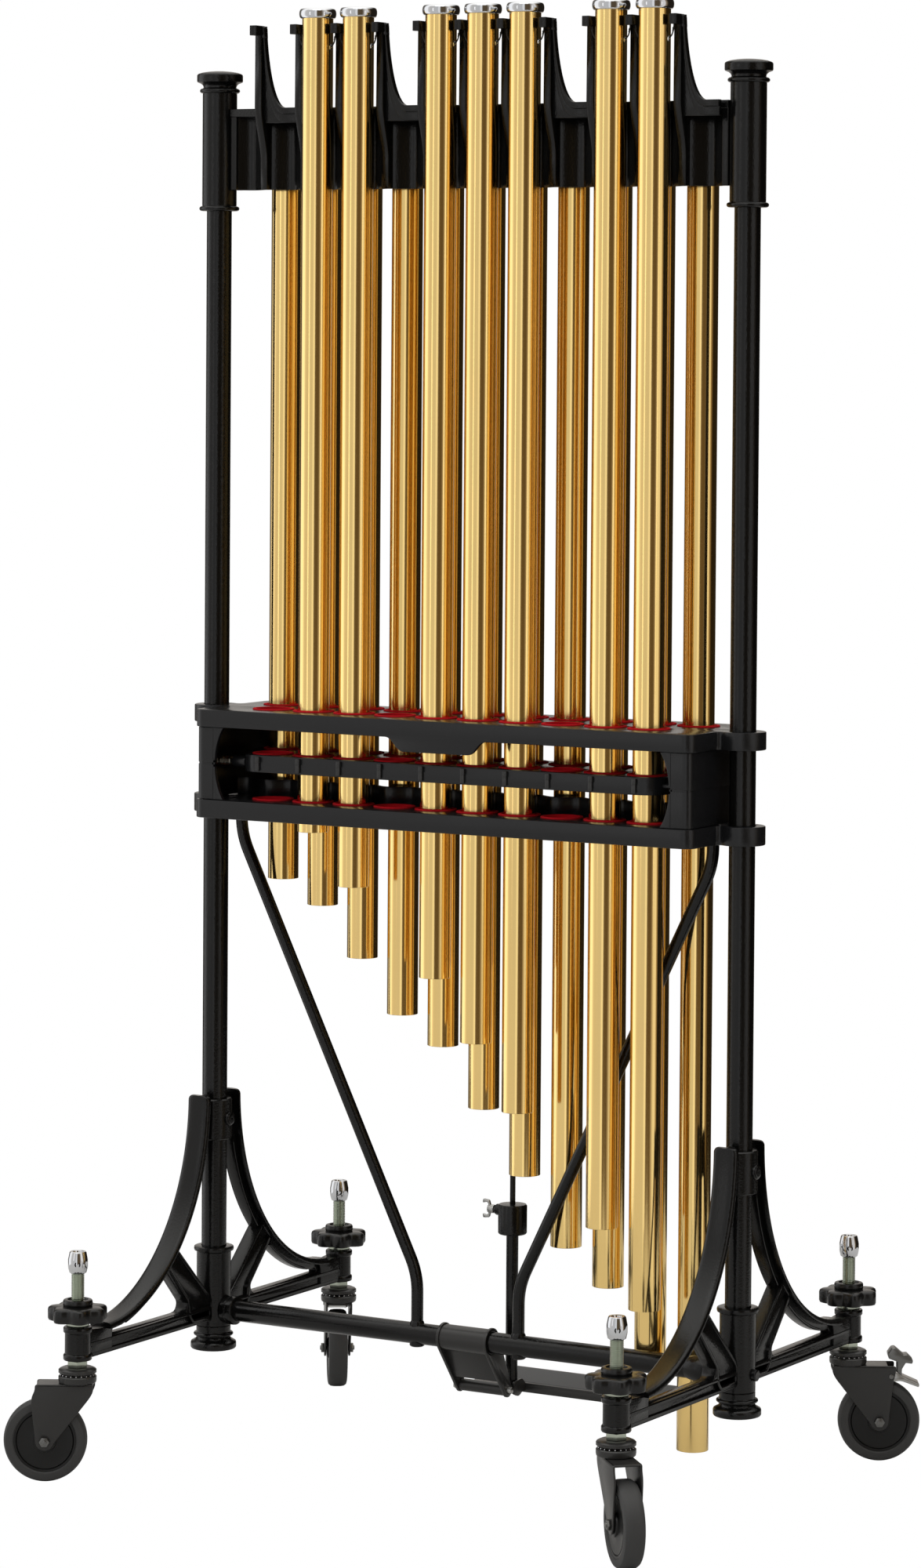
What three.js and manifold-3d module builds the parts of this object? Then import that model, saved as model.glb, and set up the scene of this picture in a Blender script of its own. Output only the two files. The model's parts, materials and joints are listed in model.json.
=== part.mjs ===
// Orchestral tubular bells: eighteen chimes on a wheeled frame with a damper box and a pedal.
// Millimetres, +Z up, origin on the floor midway between the two posts, audience side at -Y.
import * as THREE from "three";
import { mergeVertices } from "three/addons/utils/BufferGeometryUtils.js";
import Module from "manifold-3d";

const wasm = await Module();
wasm.setup();

// Clearances
const GAP = 0.3;
const PIN_GAP = 0.5;

// Hanger rail: its height carries the chimes, the sleeves and the finials
const RAIL_BOTTOM = 1551;
const RAIL_HEIGHT = 100;
const RAIL_TOP = RAIL_BOTTOM + RAIL_HEIGHT;
const RAIL_WALL = 5;
const RAIL_WAVE = 7;
const RAIL_FLANGE_DEPTH = 20;
const RAIL_FLANGE_HEIGHT = 10;

// Chimes: the two rows, the hanging cords and the length law
const CHIME_RADIUS = 19.05;
const CHIME_WALL = 1.6;
const CHIME_PITCH = 58;
const ROW_HALF_LENGTH = 5 * CHIME_PITCH;
const ROW_SPACING = 70;
const CAP_OVERHANG = 3.75;
const CAP_RADIUS = CHIME_RADIUS + CAP_OVERHANG;
const CAP_HEIGHT = 12;
const CAP_PLUG = 5;
const FRONT_CAP_RISE = 118;
const FRONT_CAP_TOP = RAIL_TOP + FRONT_CAP_RISE;
const REAR_CAP_DROP = 10;
const REAR_CAP_TOP = RAIL_TOP - REAR_CAP_DROP;
const SHORTEST_CHIME = 942;
const SEMITONE_RATIO = 1.0312;
const CORD_RADIUS = 1.1;
const CORD_HOLE_DROP = 47;
const HOOK_ABOVE_HOLE = 17;
const HOOK_INSET = 3.6;
const CHIME_SIDES = 12;

// Each note with its place along its row, counted in pitches from the left, and semitones below the top note
const REAR_NOTES = [
  ["F6", 0, 0],
  ["E6", 1, 1],
  ["D6", 2, 3],
  ["C6", 3, 5],
  ["B5", 4, 6],
  ["A5", 5, 8],
  ["G5", 6, 10],
  ["F5", 7, 12],
  ["E5", 8, 13],
  ["D5", 9, 15],
  ["C5", 10, 17],
];
const FRONT_NOTES = [
  ["Ds6", 1.5, 2],
  ["Cs6", 2.5, 4],
  ["As5", 4.5, 7],
  ["Gs5", 5.5, 9],
  ["Fs5", 6.5, 11],
  ["Ds5", 8.5, 14],
  ["Cs5", 9.5, 16],
];
const REAR_PLACES = 11;
const FRONT_PLACES = 10;
const BRACED_ARMS = [0, 3, 7, 10];

// Arms, lugs and braces of the hanger rail
const ARM_WIDTH = 10;
const ARM_FRONT = -ROW_SPACING / 2 + CORD_RADIUS + PIN_GAP;
const ARM_DEPTH = 10;
const NOSE_REACH = 12.5;
const NOSE_HEIGHT = 12;
const RIB_FRONT = -19;
const BRACE_REACH = 37;
const BRACE_THICKNESS = 5;

// Damper box, round the rows of chimes
const HOLE_CLEARANCE = 4.45;
const HOLE_RADIUS = CHIME_RADIUS + HOLE_CLEARANCE;
const HOLE_SIDES = 10;
const POST_SIDES = 16;
const PLATE_END_MARGIN = 31.5;
const PLATE_HALF_LENGTH = ROW_HALF_LENGTH + HOLE_RADIUS + PLATE_END_MARGIN;
const PLATE_FACE_MARGIN = 29.5;
const PLATE_HALF_DEPTH = ROW_SPACING / 2 + HOLE_RADIUS + PLATE_FACE_MARGIN;
const PLATE_CORNER = 14;
const LOWER_PLATE_BOTTOM = 781.4;
const LOWER_PLATE_THICKNESS = 22.6;
const BOX_OPENING = 89;
const UPPER_PLATE_BOTTOM = LOWER_PLATE_BOTTOM + LOWER_PLATE_THICKNESS + BOX_OPENING;
const UPPER_PLATE_THICKNESS = 21.5;
const PLATE_WALL_HEIGHT = 21;
const TAB_HALF_WIDTH = 57;
const TAB_DROP = 17;
const TAB_SHOULDER = 14;
const TAB_THICKNESS = 6;
const END_BLOCK_WALL = 6;
const END_BLOCK_RETURN = 25;
const END_BLOCK_BULGE = 9;
const END_BLOCK_INSET = 3;

// Posts, sleeves and finials, just outside the damper box
const POST_OFFSET = 22;
const POST_X = PLATE_HALF_LENGTH + POST_OFFSET;
const POST_RADIUS = 15.5;
const POST_BOSS_WALL = 12;
const PLATE_BOSS_RADIUS = POST_RADIUS + POST_BOSS_WALL;
const SLEEVE_WALL = 6;
const SLEEVE_RADIUS = POST_RADIUS + SLEEVE_WALL;
const SLEEVE_RING = 3.5;
const SLEEVE_RING_RADIUS = SLEEVE_RADIUS + SLEEVE_RING;
const SLEEVE_RING_HEIGHT = 6.5;
const SLEEVE_DROP = 25.5;
const SLEEVE_BOTTOM = RAIL_BOTTOM - SLEEVE_DROP;
const SLEEVE_RISE = 20;
const SLEEVE_TOP = RAIL_TOP + SLEEVE_RISE;
const FINIAL_FLARE = 7.1;
const FINIAL_RADIUS = SLEEVE_RADIUS + FINIAL_FLARE;
const FINIAL_HEIGHT = 27.6;
const FINIAL_TOP = SLEEVE_TOP + FINIAL_HEIGHT;
const POST_SOCKET_DEPTH = 130;

// Damper bar, its guide rods and return spring
const BAR_EDGE = 7.5;
const BAR_FRONT_LENGTH = ROW_HALF_LENGTH - CHIME_PITCH / 2 + HOLE_RADIUS + BAR_EDGE;
const BAR_REAR_LENGTH = ROW_HALF_LENGTH + HOLE_RADIUS + BAR_EDGE;
const BAR_INSET = 18;
const BAR_HALF_DEPTH = PLATE_HALF_DEPTH - BAR_INSET;
const BAR_CORNER = 28;
const BAR_RISE = 35.2;
const BAR_BOTTOM = LOWER_PLATE_BOTTOM + LOWER_PLATE_THICKNESS + BAR_RISE;
const BAR_THICKNESS = 21;
const GUIDE_RADIUS = 3.5;
const GUIDE_FRONT_Y = -50;
const GUIDE_REAR_Y = 0;
const GUIDE_FRONT_ENTRY = 5.5;
const GUIDE_REAR_ENTRY = 17;
const SPRING_RADIUS = 5;
const SPRING_WIRE = 1.2;
const SPRING_CURLS = 12;
const SPRING_SEAT = 16;

// Pull linkage between pedal and damper bar
const PULL_X = 24;
const PULL_Y = 66;
const PULL_TUBE_RADIUS = 7.5;
const PULL_TUBE_BORE = 5.2;
const PULL_TUBE_BOTTOM = 85;
const PULL_TUBE_TOP = 300;
const PULL_ROD_RADIUS = 3.5;
const PULL_ROD_BOTTOM = 200;
const COLLAR_OVERLAP = 20;
const COLLAR_BOTTOM = PULL_TUBE_TOP - COLLAR_OVERLAP;
const COLLAR_RISE = 17;
const COLLAR_TOP = PULL_TUBE_TOP + COLLAR_RISE;
const COLLAR_WALL = 10.5;
const COLLAR_RADIUS = PULL_TUBE_RADIUS + COLLAR_WALL;
const SCREW_RISE = 8;
const SCREW_Z = PULL_TUBE_TOP + SCREW_RISE;
const CRANK_ARM = 20;
const CRANK_RISE = 16;
const CRANK_PIVOT_Z = LOWER_PLATE_BOTTOM + LOWER_PLATE_THICKNESS + CRANK_RISE;
const CRANK_THICKNESS = 5;
const CRANK_HALF_WIDTH = 5;
const LINK_PIN_RADIUS = 2.5;

// Casters and height spindles, each size stacked on the one below
const WHEEL_RADIUS = 50;
const WHEEL_WIDTH = 25;
const WHEEL_SIDES = 20;
const TRAIL = 38;
const FORK_CLEARANCE = 79.7;
const FORK_TOP = WHEEL_RADIUS + FORK_CLEARANCE;
const FORK_PLATE = 2.6;
const FORK_INNER = 14.6;
const AXLE_RADIUS = 4;
const BRAKE_PIVOT_TRAIL = 52;
const BRAKE_PIVOT_RISE = 56;
const BRAKE_PIVOT_Z = WHEEL_RADIUS + BRAKE_PIVOT_RISE;
const SPINDLE_RADIUS = 8;
const RACE_RADIUS = 23;
const RACE_BOTTOM = FORK_TOP + GAP;
const RACE_HEIGHT = 7;
const RACE_TOP = RACE_BOTTOM + RACE_HEIGHT;
const NUT_HEIGHT = 9;
const BOSS_BOTTOM = RACE_TOP + NUT_HEIGHT;
const BOSS_HEIGHT = 40;
const BOSS_TOP = BOSS_BOTTOM + BOSS_HEIGHT;
const BOSS_RADIUS = 15.5;
const BOSS_RING = 1.8;
const BOSS_RING_RADIUS = BOSS_RADIUS + BOSS_RING;
const WASHER_HEIGHT = 7;
const KNOB_BOTTOM = BOSS_TOP + WASHER_HEIGHT;
const KNOB_BODY = 18;
const KNOB_HUB = 8;
const KNOB_RADIUS = 33.5;
const KNOB_LOBE = 2.8;
const KNOB_LOBES = 7;
const THREAD_SHOWN = 31.5;
const SPINDLE_CAP_BOTTOM = KNOB_BOTTOM + KNOB_BODY + KNOB_HUB + THREAD_SHOWN;
const SPINDLE_CAP_HEIGHT = 26;
const SPINDLE_CAP_TOP = SPINDLE_CAP_BOTTOM + SPINDLE_CAP_HEIGHT;
const SPINDLE_CAP_RADIUS = 12;

// Leg castings and turned feet, from the bosses of the spindles to the posts
const LEG_REACH = 297;
const HUB_DROP = 8;
const HUB_BOTTOM = BOSS_BOTTOM - HUB_DROP;
const HUB_HEIGHT = 100;
const HUB_TOP = HUB_BOTTOM + HUB_HEIGHT;
const ARCH_INSET = 37;
const ARCH_CENTRE_Y = LEG_REACH - ARCH_INSET;
const ARCH_TOP_Y = 38;
const ARCH_HALF_SPAN = ARCH_CENTRE_Y - ARCH_TOP_Y;
const ARCH_HALF_RISE = 248;
const ARCH_FOOT_Z = BOSS_TOP - 4;
const ARCH_CENTRE_Z = ARCH_FOOT_Z + ARCH_HALF_RISE;
const LEG_COLLAR_TOP = ARCH_CENTRE_Z - 7;
const LEG_COLLAR_DEPTH = 58;
const LEG_COLLAR_BOTTOM = ARCH_CENTRE_Z - LEG_COLLAR_DEPTH;
const LEG_COLLAR_BOLT_Z = LEG_COLLAR_BOTTOM + 26;
const LEG_COLLAR_WALL = 6.5;
const LEG_COLLAR_RADIUS = POST_RADIUS + LEG_COLLAR_WALL;
const ARCH_FLANGE_WIDTH = 29;
const ARCH_FLANGE_THICKNESS = 5;
const ARCH_WEB_DEPTH = 14;
const LEG_WEB = 10;
const LEG_BAR_WIDTH = 20;
const LEG_BAR_HEIGHT = 20;
const STRUT_UPPER_ANGLE = 0.78;
const STRUT_LOWER_ANGLE = 0.91;
const STRUT_HUB_TOP = BOSS_TOP - 9;
const STRUT_FOOT_Y = -67;
const WINDOW_TIP_Y = 27 - ARCH_CENTRE_Y;
const FOOT_HEIGHT = 29;
const FOOT_BOTTOM = HUB_BOTTOM - FOOT_HEIGHT;

// Lower frame
const CROSSBAR_RADIUS = 13;
const CROSSBAR_RISE = 13;
const CROSSBAR_Z = BOSS_BOTTOM + CROSSBAR_RISE;
const BRACE_RADIUS = 7.5;
const BRACE_INSET = 38;
const BRACE_TOP_X = POST_X - BRACE_INSET;
const BRACE_FOOT_X = 71;
const BRACE_KNEE_DROP = 26;
const BRACE_FOOT_RISE = 72;

// Pedal
const PIVOT_Y = 40;
const PIVOT_DROP = 65;
const PIVOT_Z = CROSSBAR_Z - PIVOT_DROP;
const PIVOT_PIN_RADIUS = 4;
const PEDAL_HUB_RADIUS = 7.5;
const BRACKET_HALF_WIDTH = 35;
const CHEEK_THICKNESS = 4;
const FOOT_PLATE_LEFT = -35;
const FOOT_PLATE_RIGHT = 215;
const FOOT_PLATE_NEAR = 80;
const FOOT_PLATE_FAR = 165;
const FOOT_PLATE_THICKNESS = 4;
const FOOT_PLATE_LIP = 12;

// Where each caster trails, in degrees about +Z from +X, and which have a brake
const CASTERS = [
  ["front_left", -1, -1, 210, false],
  ["front_right", 1, -1, -46, false],
  ["rear_left", -1, 1, 124, true],
  ["rear_right", 1, 1, 30, true],
];

const FINISHES = {
  frame: { color: 0x17181a, roughness: 0.42, metalness: 0.1 },
  box: { color: 0x2b2d31, roughness: 0.62, metalness: 0.1 },
  brass: { color: 0xd0a85a, roughness: 0.3, metalness: 1 },
  chrome: { color: 0xd9dcde, roughness: 0.08, metalness: 1 },
  zinc: { color: 0xa9b08e, roughness: 0.35, metalness: 1 },
  knob: { color: 0x141414, roughness: 0.35, metalness: 0 },
  tread: { color: 0x3a3b3c, roughness: 0.8, metalness: 0 },
  steel: { color: 0x77787a, roughness: 0.4, metalness: 1 },
};

const bells = new THREE.Group();

// A closed geometry as a solid whose faces point out.
function solid(geometry) {
  const plain = geometry.index ? geometry.toNonIndexed() : geometry.clone();
  plain.deleteAttribute("normal");
  plain.deleteAttribute("uv");
  const merged = mergeVertices(plain, 1e-3);
  const corners = new Uint32Array(merged.index.array);
  const make = () =>
    new wasm.Manifold(
      new wasm.Mesh({
        numProp: 3,
        vertProperties: merged.attributes.position.array,
        triVerts: corners,
      }),
    );
  const first = make();
  if (first.volume() > 0) return first;
  for (let i = 0; i < corners.length; i += 3) {
    [corners[i + 1], corners[i + 2]] = [corners[i + 2], corners[i + 1]];
  }
  return make();
}

// A solid as a geometry that a mesh can hold.
function geometryOf(made) {
  const mesh = made.getMesh();
  const points = new Float32Array(mesh.numVert * 3);
  for (let i = 0; i < mesh.numVert; i++) {
    const start = i * mesh.numProp;
    points.set(mesh.vertProperties.subarray(start, start + 3), i * 3);
  }
  const geometry = new THREE.BufferGeometry();
  geometry.setAttribute("position", new THREE.BufferAttribute(points, 3));
  geometry.setIndex(new THREE.BufferAttribute(mesh.triVerts.slice(), 1));
  geometry.computeVertexNormals();
  return geometry;
}

function join(...solids) {
  return solids.reduce((all, next) => all.add(next));
}

// Adds one named sub-part to a group, in one finish.
function addPart(name, made, finish, parent = bells) {
  const material = new THREE.MeshStandardMaterial(FINISHES[finish]);
  const mesh = new THREE.Mesh(geometryOf(made), material);
  mesh.name = name;
  parent.add(mesh);
  return mesh;
}

// A turned shape about the line x, y, from [radius, height] points.
function turned(points, sides, x = 0, y = 0) {
  const profile = points.map(([r, z]) => new THREE.Vector2(r, z));
  const geometry = new THREE.LatheGeometry(profile, sides);
  geometry.rotateX(Math.PI / 2);
  geometry.translate(x, y, 0);
  return solid(geometry);
}

function cylinder(radius, low, high, x = 0, y = 0, sides = 24) {
  return turned(
    [
      [0, low],
      [radius, low],
      [radius, high],
      [0, high],
    ],
    sides,
    x,
    y,
  );
}

// A cylinder lying along X between two places.
function rodAlongX(radius, from, to, y, z, sides = 12) {
  const geometry = new THREE.CylinderGeometry(radius, radius, to - from, sides);
  geometry.rotateZ(Math.PI / 2);
  geometry.translate((from + to) / 2, y, z);
  return solid(geometry);
}

// A cylinder lying along Y between two places.
function rodAlongY(radius, from, to, x, z, sides = 12) {
  const geometry = new THREE.CylinderGeometry(radius, radius, to - from, sides);
  geometry.translate(x, (from + to) / 2, z);
  return solid(geometry.rotateX(0));
}

function box(x0, x1, y0, y1, z0, z1) {
  const geometry = new THREE.BoxGeometry(x1 - x0, y1 - y0, z1 - z0);
  geometry.translate((x0 + x1) / 2, (y0 + y1) / 2, (z0 + z1) / 2);
  return solid(geometry);
}

function shapeOf(points) {
  return new THREE.Shape(points.map(([x, y]) => new THREE.Vector2(x, y)));
}

// An outline in plan, drawn up from one height to another.
function plate(shape, low, high, curveSegments = 6) {
  const options = { depth: high - low, bevelEnabled: false, curveSegments };
  const geometry = new THREE.ExtrudeGeometry(shape, options);
  geometry.translate(0, 0, low);
  return solid(geometry);
}

// An outline of [y, z] points, drawn along X about the place x.
function sidePlate(shape, x, width, curveSegments = 6) {
  const options = { depth: width, bevelEnabled: false, curveSegments };
  const geometry = new THREE.ExtrudeGeometry(shape, options);
  const axes = new THREE.Matrix4().makeBasis(
    new THREE.Vector3(0, 1, 0),
    new THREE.Vector3(0, 0, 1),
    new THREE.Vector3(1, 0, 0),
  );
  geometry.applyMatrix4(axes);
  geometry.translate(x - width / 2, 0, 0);
  return solid(geometry);
}

// An outline of [x, z] points, drawn along Y from one place to another.
function frontPlate(shape, y0, y1, curveSegments = 6) {
  const options = { depth: y1 - y0, bevelEnabled: false, curveSegments };
  const geometry = new THREE.ExtrudeGeometry(shape, options);
  const axes = new THREE.Matrix4().makeBasis(
    new THREE.Vector3(1, 0, 0),
    new THREE.Vector3(0, 0, 1),
    new THREE.Vector3(0, -1, 0),
  );
  geometry.applyMatrix4(axes);
  geometry.translate(0, y1, 0);
  return solid(geometry);
}

// A path through given points, whose steps fall on the points themselves.
class PointPath extends THREE.Curve {
  constructor(points) {
    super();
    this.points = points;
  }

  getPoint(t) {
    const last = this.points.length - 1;
    const place = Math.min(Math.max(t, 0), 1) * last;
    const i = Math.min(Math.floor(place), last - 1);
    return this.points[i].clone().lerp(this.points[i + 1], place - i);
  }

  getUtoTmapping(u) {
    return u;
  }
}

// The points of straight runs whose corners are rounded by the given length.
function bentPoints(corners, size, steps) {
  const points = [corners[0]];
  for (let i = 1; i < corners.length - 1; i++) {
    const before = corners[i].clone().sub(corners[i - 1]).setLength(size);
    const after = corners[i + 1].clone().sub(corners[i]).setLength(size);
    const start = corners[i].clone().sub(before);
    const end = corners[i].clone().add(after);
    const bend = new THREE.QuadraticBezierCurve3(start, corners[i], end);
    points.push(...bend.getPoints(steps));
  }
  return [...points, corners[corners.length - 1]];
}

// A round bar through given points.
function barThrough(points, radius, sides) {
  const ring = [];
  for (let i = 0; i < sides; i++) {
    const angle = (2 * Math.PI * i) / sides;
    ring.push([radius * Math.cos(angle), radius * Math.sin(angle)]);
  }
  const path = new PointPath(points);
  const options = { steps: points.length - 1, bevelEnabled: false, extrudePath: path };
  return solid(new THREE.ExtrudeGeometry(shapeOf(ring), options));
}

const rearX = (place) => (place - (REAR_PLACES - 1) / 2) * CHIME_PITCH;
const rearY = ROW_SPACING / 2;
const frontY = -ROW_SPACING / 2;

// One chime: a tube open at the foot, its striking cap and the cord it hangs by.
function chime(x, y, capTop, length) {
  const bore = CHIME_RADIUS - CHIME_WALL;
  const foot = capTop - length;
  const cap = capTop - CAP_HEIGHT;
  const body = turned(
    [
      [0, capTop - CAP_PLUG],
      [bore, capTop - CAP_PLUG],
      [bore, foot],
      [CHIME_RADIUS, foot],
      [CHIME_RADIUS, cap],
      [CAP_RADIUS, cap],
      [CAP_RADIUS, capTop - 3],
      [CAP_RADIUS - 2.4, capTop],
      [0, capTop],
    ],
    CHIME_SIDES,
    x,
    y,
  );
  const holeZ = capTop - CORD_HOLE_DROP;
  const hookX = CHIME_PITCH / 2 - HOOK_INSET;
  const hookZ = holeZ + HOOK_ABOVE_HOLE - GAP;
  const side = (sign) => [
    new THREE.Vector3(x + sign * hookX, y, hookZ),
    new THREE.Vector3(x + sign * (CHIME_RADIUS + 1.5), y, holeZ),
  ];
  const [leftHook, leftHole] = side(-1);
  const [rightHook, rightHole] = side(1);
  const cord = [leftHook, leftHole, rightHole, rightHook];
  return join(body, barThrough(cord, CORD_RADIUS, 4));
}

function addChimes() {
  const rows = [
    [REAR_NOTES, rearY, REAR_CAP_TOP],
    [FRONT_NOTES, frontY, FRONT_CAP_TOP],
  ];
  for (const [notes, y, capTop] of rows) {
    for (const [note, place, semitones] of notes) {
      const length = SHORTEST_CHIME * SEMITONE_RATIO ** semitones;
      addPart("chime_" + note, chime(rearX(place), y, capTop, length), "brass");
    }
  }
}

// The post, closed by the finial above and the foot below.
function addPosts() {
  for (const [side, sign] of [
    ["left", -1],
    ["right", 1],
  ]) {
    const x = sign * POST_X;
    const top = SLEEVE_BOTTOM + POST_SOCKET_DEPTH;
    addPart("post_" + side, cylinder(POST_RADIUS, HUB_BOTTOM, top, x, 0, POST_SIDES), "frame");
    const bore = POST_RADIUS + GAP;
    const ring = SLEEVE_RING_HEIGHT;
    const sleeve = turned(
      [
        [0, top + GAP],
        [bore, top + GAP],
        [bore, SLEEVE_BOTTOM],
        [SLEEVE_RING_RADIUS, SLEEVE_BOTTOM],
        [SLEEVE_RING_RADIUS, SLEEVE_BOTTOM + ring],
        [SLEEVE_RADIUS, SLEEVE_BOTTOM + ring],
        [SLEEVE_RADIUS, SLEEVE_TOP],
        [SLEEVE_RING_RADIUS, SLEEVE_TOP + 1],
        [SLEEVE_RING_RADIUS, SLEEVE_TOP + 5],
        [SLEEVE_RADIUS - 1, SLEEVE_TOP + 6],
        [SLEEVE_RADIUS, SLEEVE_TOP + 10],
        [FINIAL_RADIUS, SLEEVE_TOP + 15.5],
        [FINIAL_RADIUS, FINIAL_TOP - 4],
        [FINIAL_RADIUS * 0.7, FINIAL_TOP - 1],
        [0, FINIAL_TOP],
      ],
      POST_SIDES,
      x,
    );
    addPart("upper_sleeve_" + side, sleeve, "frame");
  }
}

// A wall that weaves between the two rows.
function weavingWall(half, low, high, stepsPerWave) {
  const steps = Math.round((2 * half) / CHIME_PITCH) * stepsPerWave;
  const front = [];
  const back = [];
  for (let i = 0; i <= steps; i++) {
    const x = -half + (2 * half * i) / steps;
    const y = -RAIL_WAVE * Math.cos((2 * Math.PI * x) / CHIME_PITCH);
    front.push([x, y - RAIL_WALL / 2]);
    back.unshift([x, y + RAIL_WALL / 2]);
  }
  return plate(shapeOf([...front, ...back]), low, high);
}

// An arm of the front row: nose, upright and the rib that runs down the wall.
function frontArm(x, noseTop) {
  const back = ARM_FRONT + ARM_DEPTH;
  const outline = new THREE.Shape();
  outline.moveTo(ARM_FRONT - NOSE_REACH, noseTop);
  outline.lineTo(ARM_FRONT - NOSE_REACH, noseTop - NOSE_HEIGHT);
  outline.lineTo(ARM_FRONT, noseTop - NOSE_HEIGHT);
  outline.lineTo(ARM_FRONT, RAIL_TOP + 4);
  outline.quadraticCurveTo(ARM_FRONT, RAIL_TOP - 14, RIB_FRONT - 4, RAIL_TOP - 40);
  outline.quadraticCurveTo(RIB_FRONT, RAIL_TOP - 52, RIB_FRONT, RAIL_TOP - 66);
  outline.lineTo(RIB_FRONT, RAIL_BOTTOM);
  outline.lineTo(0.5 - RAIL_WAVE, RAIL_BOTTOM);
  outline.lineTo(0.5 - RAIL_WAVE, RAIL_TOP - 3);
  outline.quadraticCurveTo(back + 4, RAIL_TOP, back, RAIL_TOP + 22);
  outline.lineTo(back, noseTop);
  return sidePlate(outline, x, ARM_WIDTH, 3);
}

// A lug of the rear row, which carries the cords of its two neighbours.
function rearLug(x, noseTop) {
  const back = rearY - CORD_RADIUS - PIN_GAP;
  const outline = new THREE.Shape();
  outline.moveTo(RAIL_WAVE - 0.5, noseTop);
  outline.lineTo(RAIL_WAVE - 0.5, noseTop - 46);
  outline.lineTo(RAIL_WAVE + RAIL_WALL, noseTop - 46);
  outline.quadraticCurveTo(back, noseTop - 40, back, noseTop - NOSE_HEIGHT - 6);
  outline.lineTo(back, noseTop - NOSE_HEIGHT);
  outline.lineTo(back + NOSE_REACH, noseTop - NOSE_HEIGHT);
  outline.lineTo(back + NOSE_REACH, noseTop);
  return sidePlate(outline, x, ARM_WIDTH, 2);
}

// The swept brace on the right of an arm, a thin web under a wide curved flange.
function sweptBrace(x, noseTop) {
  const start = x + ARM_WIDTH / 2 + BRACE_THICKNESS - 1;
  const end = x + ARM_WIDTH / 2 + BRACE_REACH;
  const top = noseTop - 0.5;
  const floor = RAIL_TOP - RAIL_FLANGE_HEIGHT + 2;
  const drop = top - RAIL_TOP - 1;
  const curve = (inset) => {
    const points = [];
    for (let i = 0; i <= 6; i++) {
      const angle = (Math.PI / 2) * (i / 6);
      const across = end - (end - start + inset) * Math.cos(angle);
      const up = top - (drop + inset) * Math.sin(angle);
      points.push([across, up]);
    }
    points.push([x + CHIME_PITCH - ARM_WIDTH / 2 + 1, top - drop - inset]);
    return points;
  };
  const outer = curve(0);
  const inner = curve(BRACE_THICKNESS).reverse();
  const flange = frontPlate(shapeOf([...outer, ...inner]), ARM_FRONT + 0.5, -7);
  const middle = curve(BRACE_THICKNESS / 2);
  const last = middle[middle.length - 1][0];
  const web = shapeOf([...middle, [last, floor], [x, floor], [x, top]]);
  return flange.add(frontPlate(web, ARM_FRONT + 3, ARM_FRONT + 7));
}

function addHangerRail() {
  const half = POST_X - SLEEVE_RADIUS;
  const depth = RAIL_FLANGE_DEPTH / 2;
  const hookDrop = CORD_HOLE_DROP - HOOK_ABOVE_HOLE - NOSE_HEIGHT;
  const frontNose = FRONT_CAP_TOP - hookDrop;
  const rearNose = REAR_CAP_TOP - hookDrop;
  let rail = join(
    weavingWall(half, RAIL_BOTTOM, RAIL_TOP - 2, 6),
    box(-half, half, -depth, depth, RAIL_TOP - RAIL_FLANGE_HEIGHT, RAIL_TOP),
  );
  for (let place = 0; place < REAR_PLACES; place++) {
    rail = rail.add(frontArm(rearX(place), frontNose));
    if (BRACED_ARMS.includes(place)) {
      rail = rail.add(sweptBrace(rearX(place), frontNose));
    }
  }
  for (let place = -0.5; place < REAR_PLACES; place++) {
    rail = rail.add(rearLug(rearX(place), rearNose));
  }
  for (const sign of [-1, 1]) {
    const edge = sign * (half - 6);
    const end = sign * (half + 6);
    rail = rail.add(
      box(Math.min(edge, end), Math.max(edge, end), -9, 9, RAIL_BOTTOM, RAIL_TOP),
    );
    rail = rail.subtract(
      cylinder(
        SLEEVE_RADIUS + GAP,
        RAIL_BOTTOM - 1,
        RAIL_TOP + 1,
        sign * POST_X,
        0,
        POST_SIDES,
      ),
    );
  }
  addPart("hanger_rail", rail, "frame");
}

// The outline of a damper plate in plan: a rounded box with a waist and a boss round each post.
function damperOutline() {
  const l = PLATE_HALF_LENGTH;
  const d = PLATE_HALF_DEPTH;
  const c = PLATE_CORNER;
  const waist = 30;
  const meet = Math.asin((waist * 0.75) / PLATE_BOSS_RADIUS);
  const meetX = PLATE_BOSS_RADIUS * Math.cos(meet);
  const meetY = PLATE_BOSS_RADIUS * Math.sin(meet);
  const outline = new THREE.Shape();
  outline.moveTo(-l + c, -d);
  outline.lineTo(l - c, -d);
  outline.absarc(l - c, -d + c, c, -Math.PI / 2, 0);
  outline.lineTo(l, -waist);
  outline.quadraticCurveTo(l, -meetY, POST_X - meetX, -meetY);
  outline.absarc(POST_X, 0, PLATE_BOSS_RADIUS, -Math.PI + meet, Math.PI - meet);
  outline.quadraticCurveTo(l, meetY, l, waist);
  outline.lineTo(l, d - c);
  outline.absarc(l - c, d - c, c, 0, Math.PI / 2);
  outline.lineTo(-l + c, d);
  outline.absarc(-l + c, d - c, c, Math.PI / 2, Math.PI);
  outline.lineTo(-l, waist);
  outline.quadraticCurveTo(-l, meetY, -POST_X + meetX, meetY);
  outline.absarc(-POST_X, 0, PLATE_BOSS_RADIUS, meet, 2 * Math.PI - meet);
  outline.quadraticCurveTo(-l, -meetY, -l, -waist);
  outline.lineTo(-l, -d + c);
  outline.absarc(-l + c, -d + c, c, Math.PI, 1.5 * Math.PI);
  return outline;
}

function ringHole(x, y, radius, sides) {
  const points = [];
  for (let i = 0; i < sides; i++) {
    const angle = (2 * Math.PI * (i + 0.5)) / sides;
    points.push(new THREE.Vector2(x + radius * Math.cos(angle), y + radius * Math.sin(angle)));
  }
  return new THREE.Path(points);
}

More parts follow.
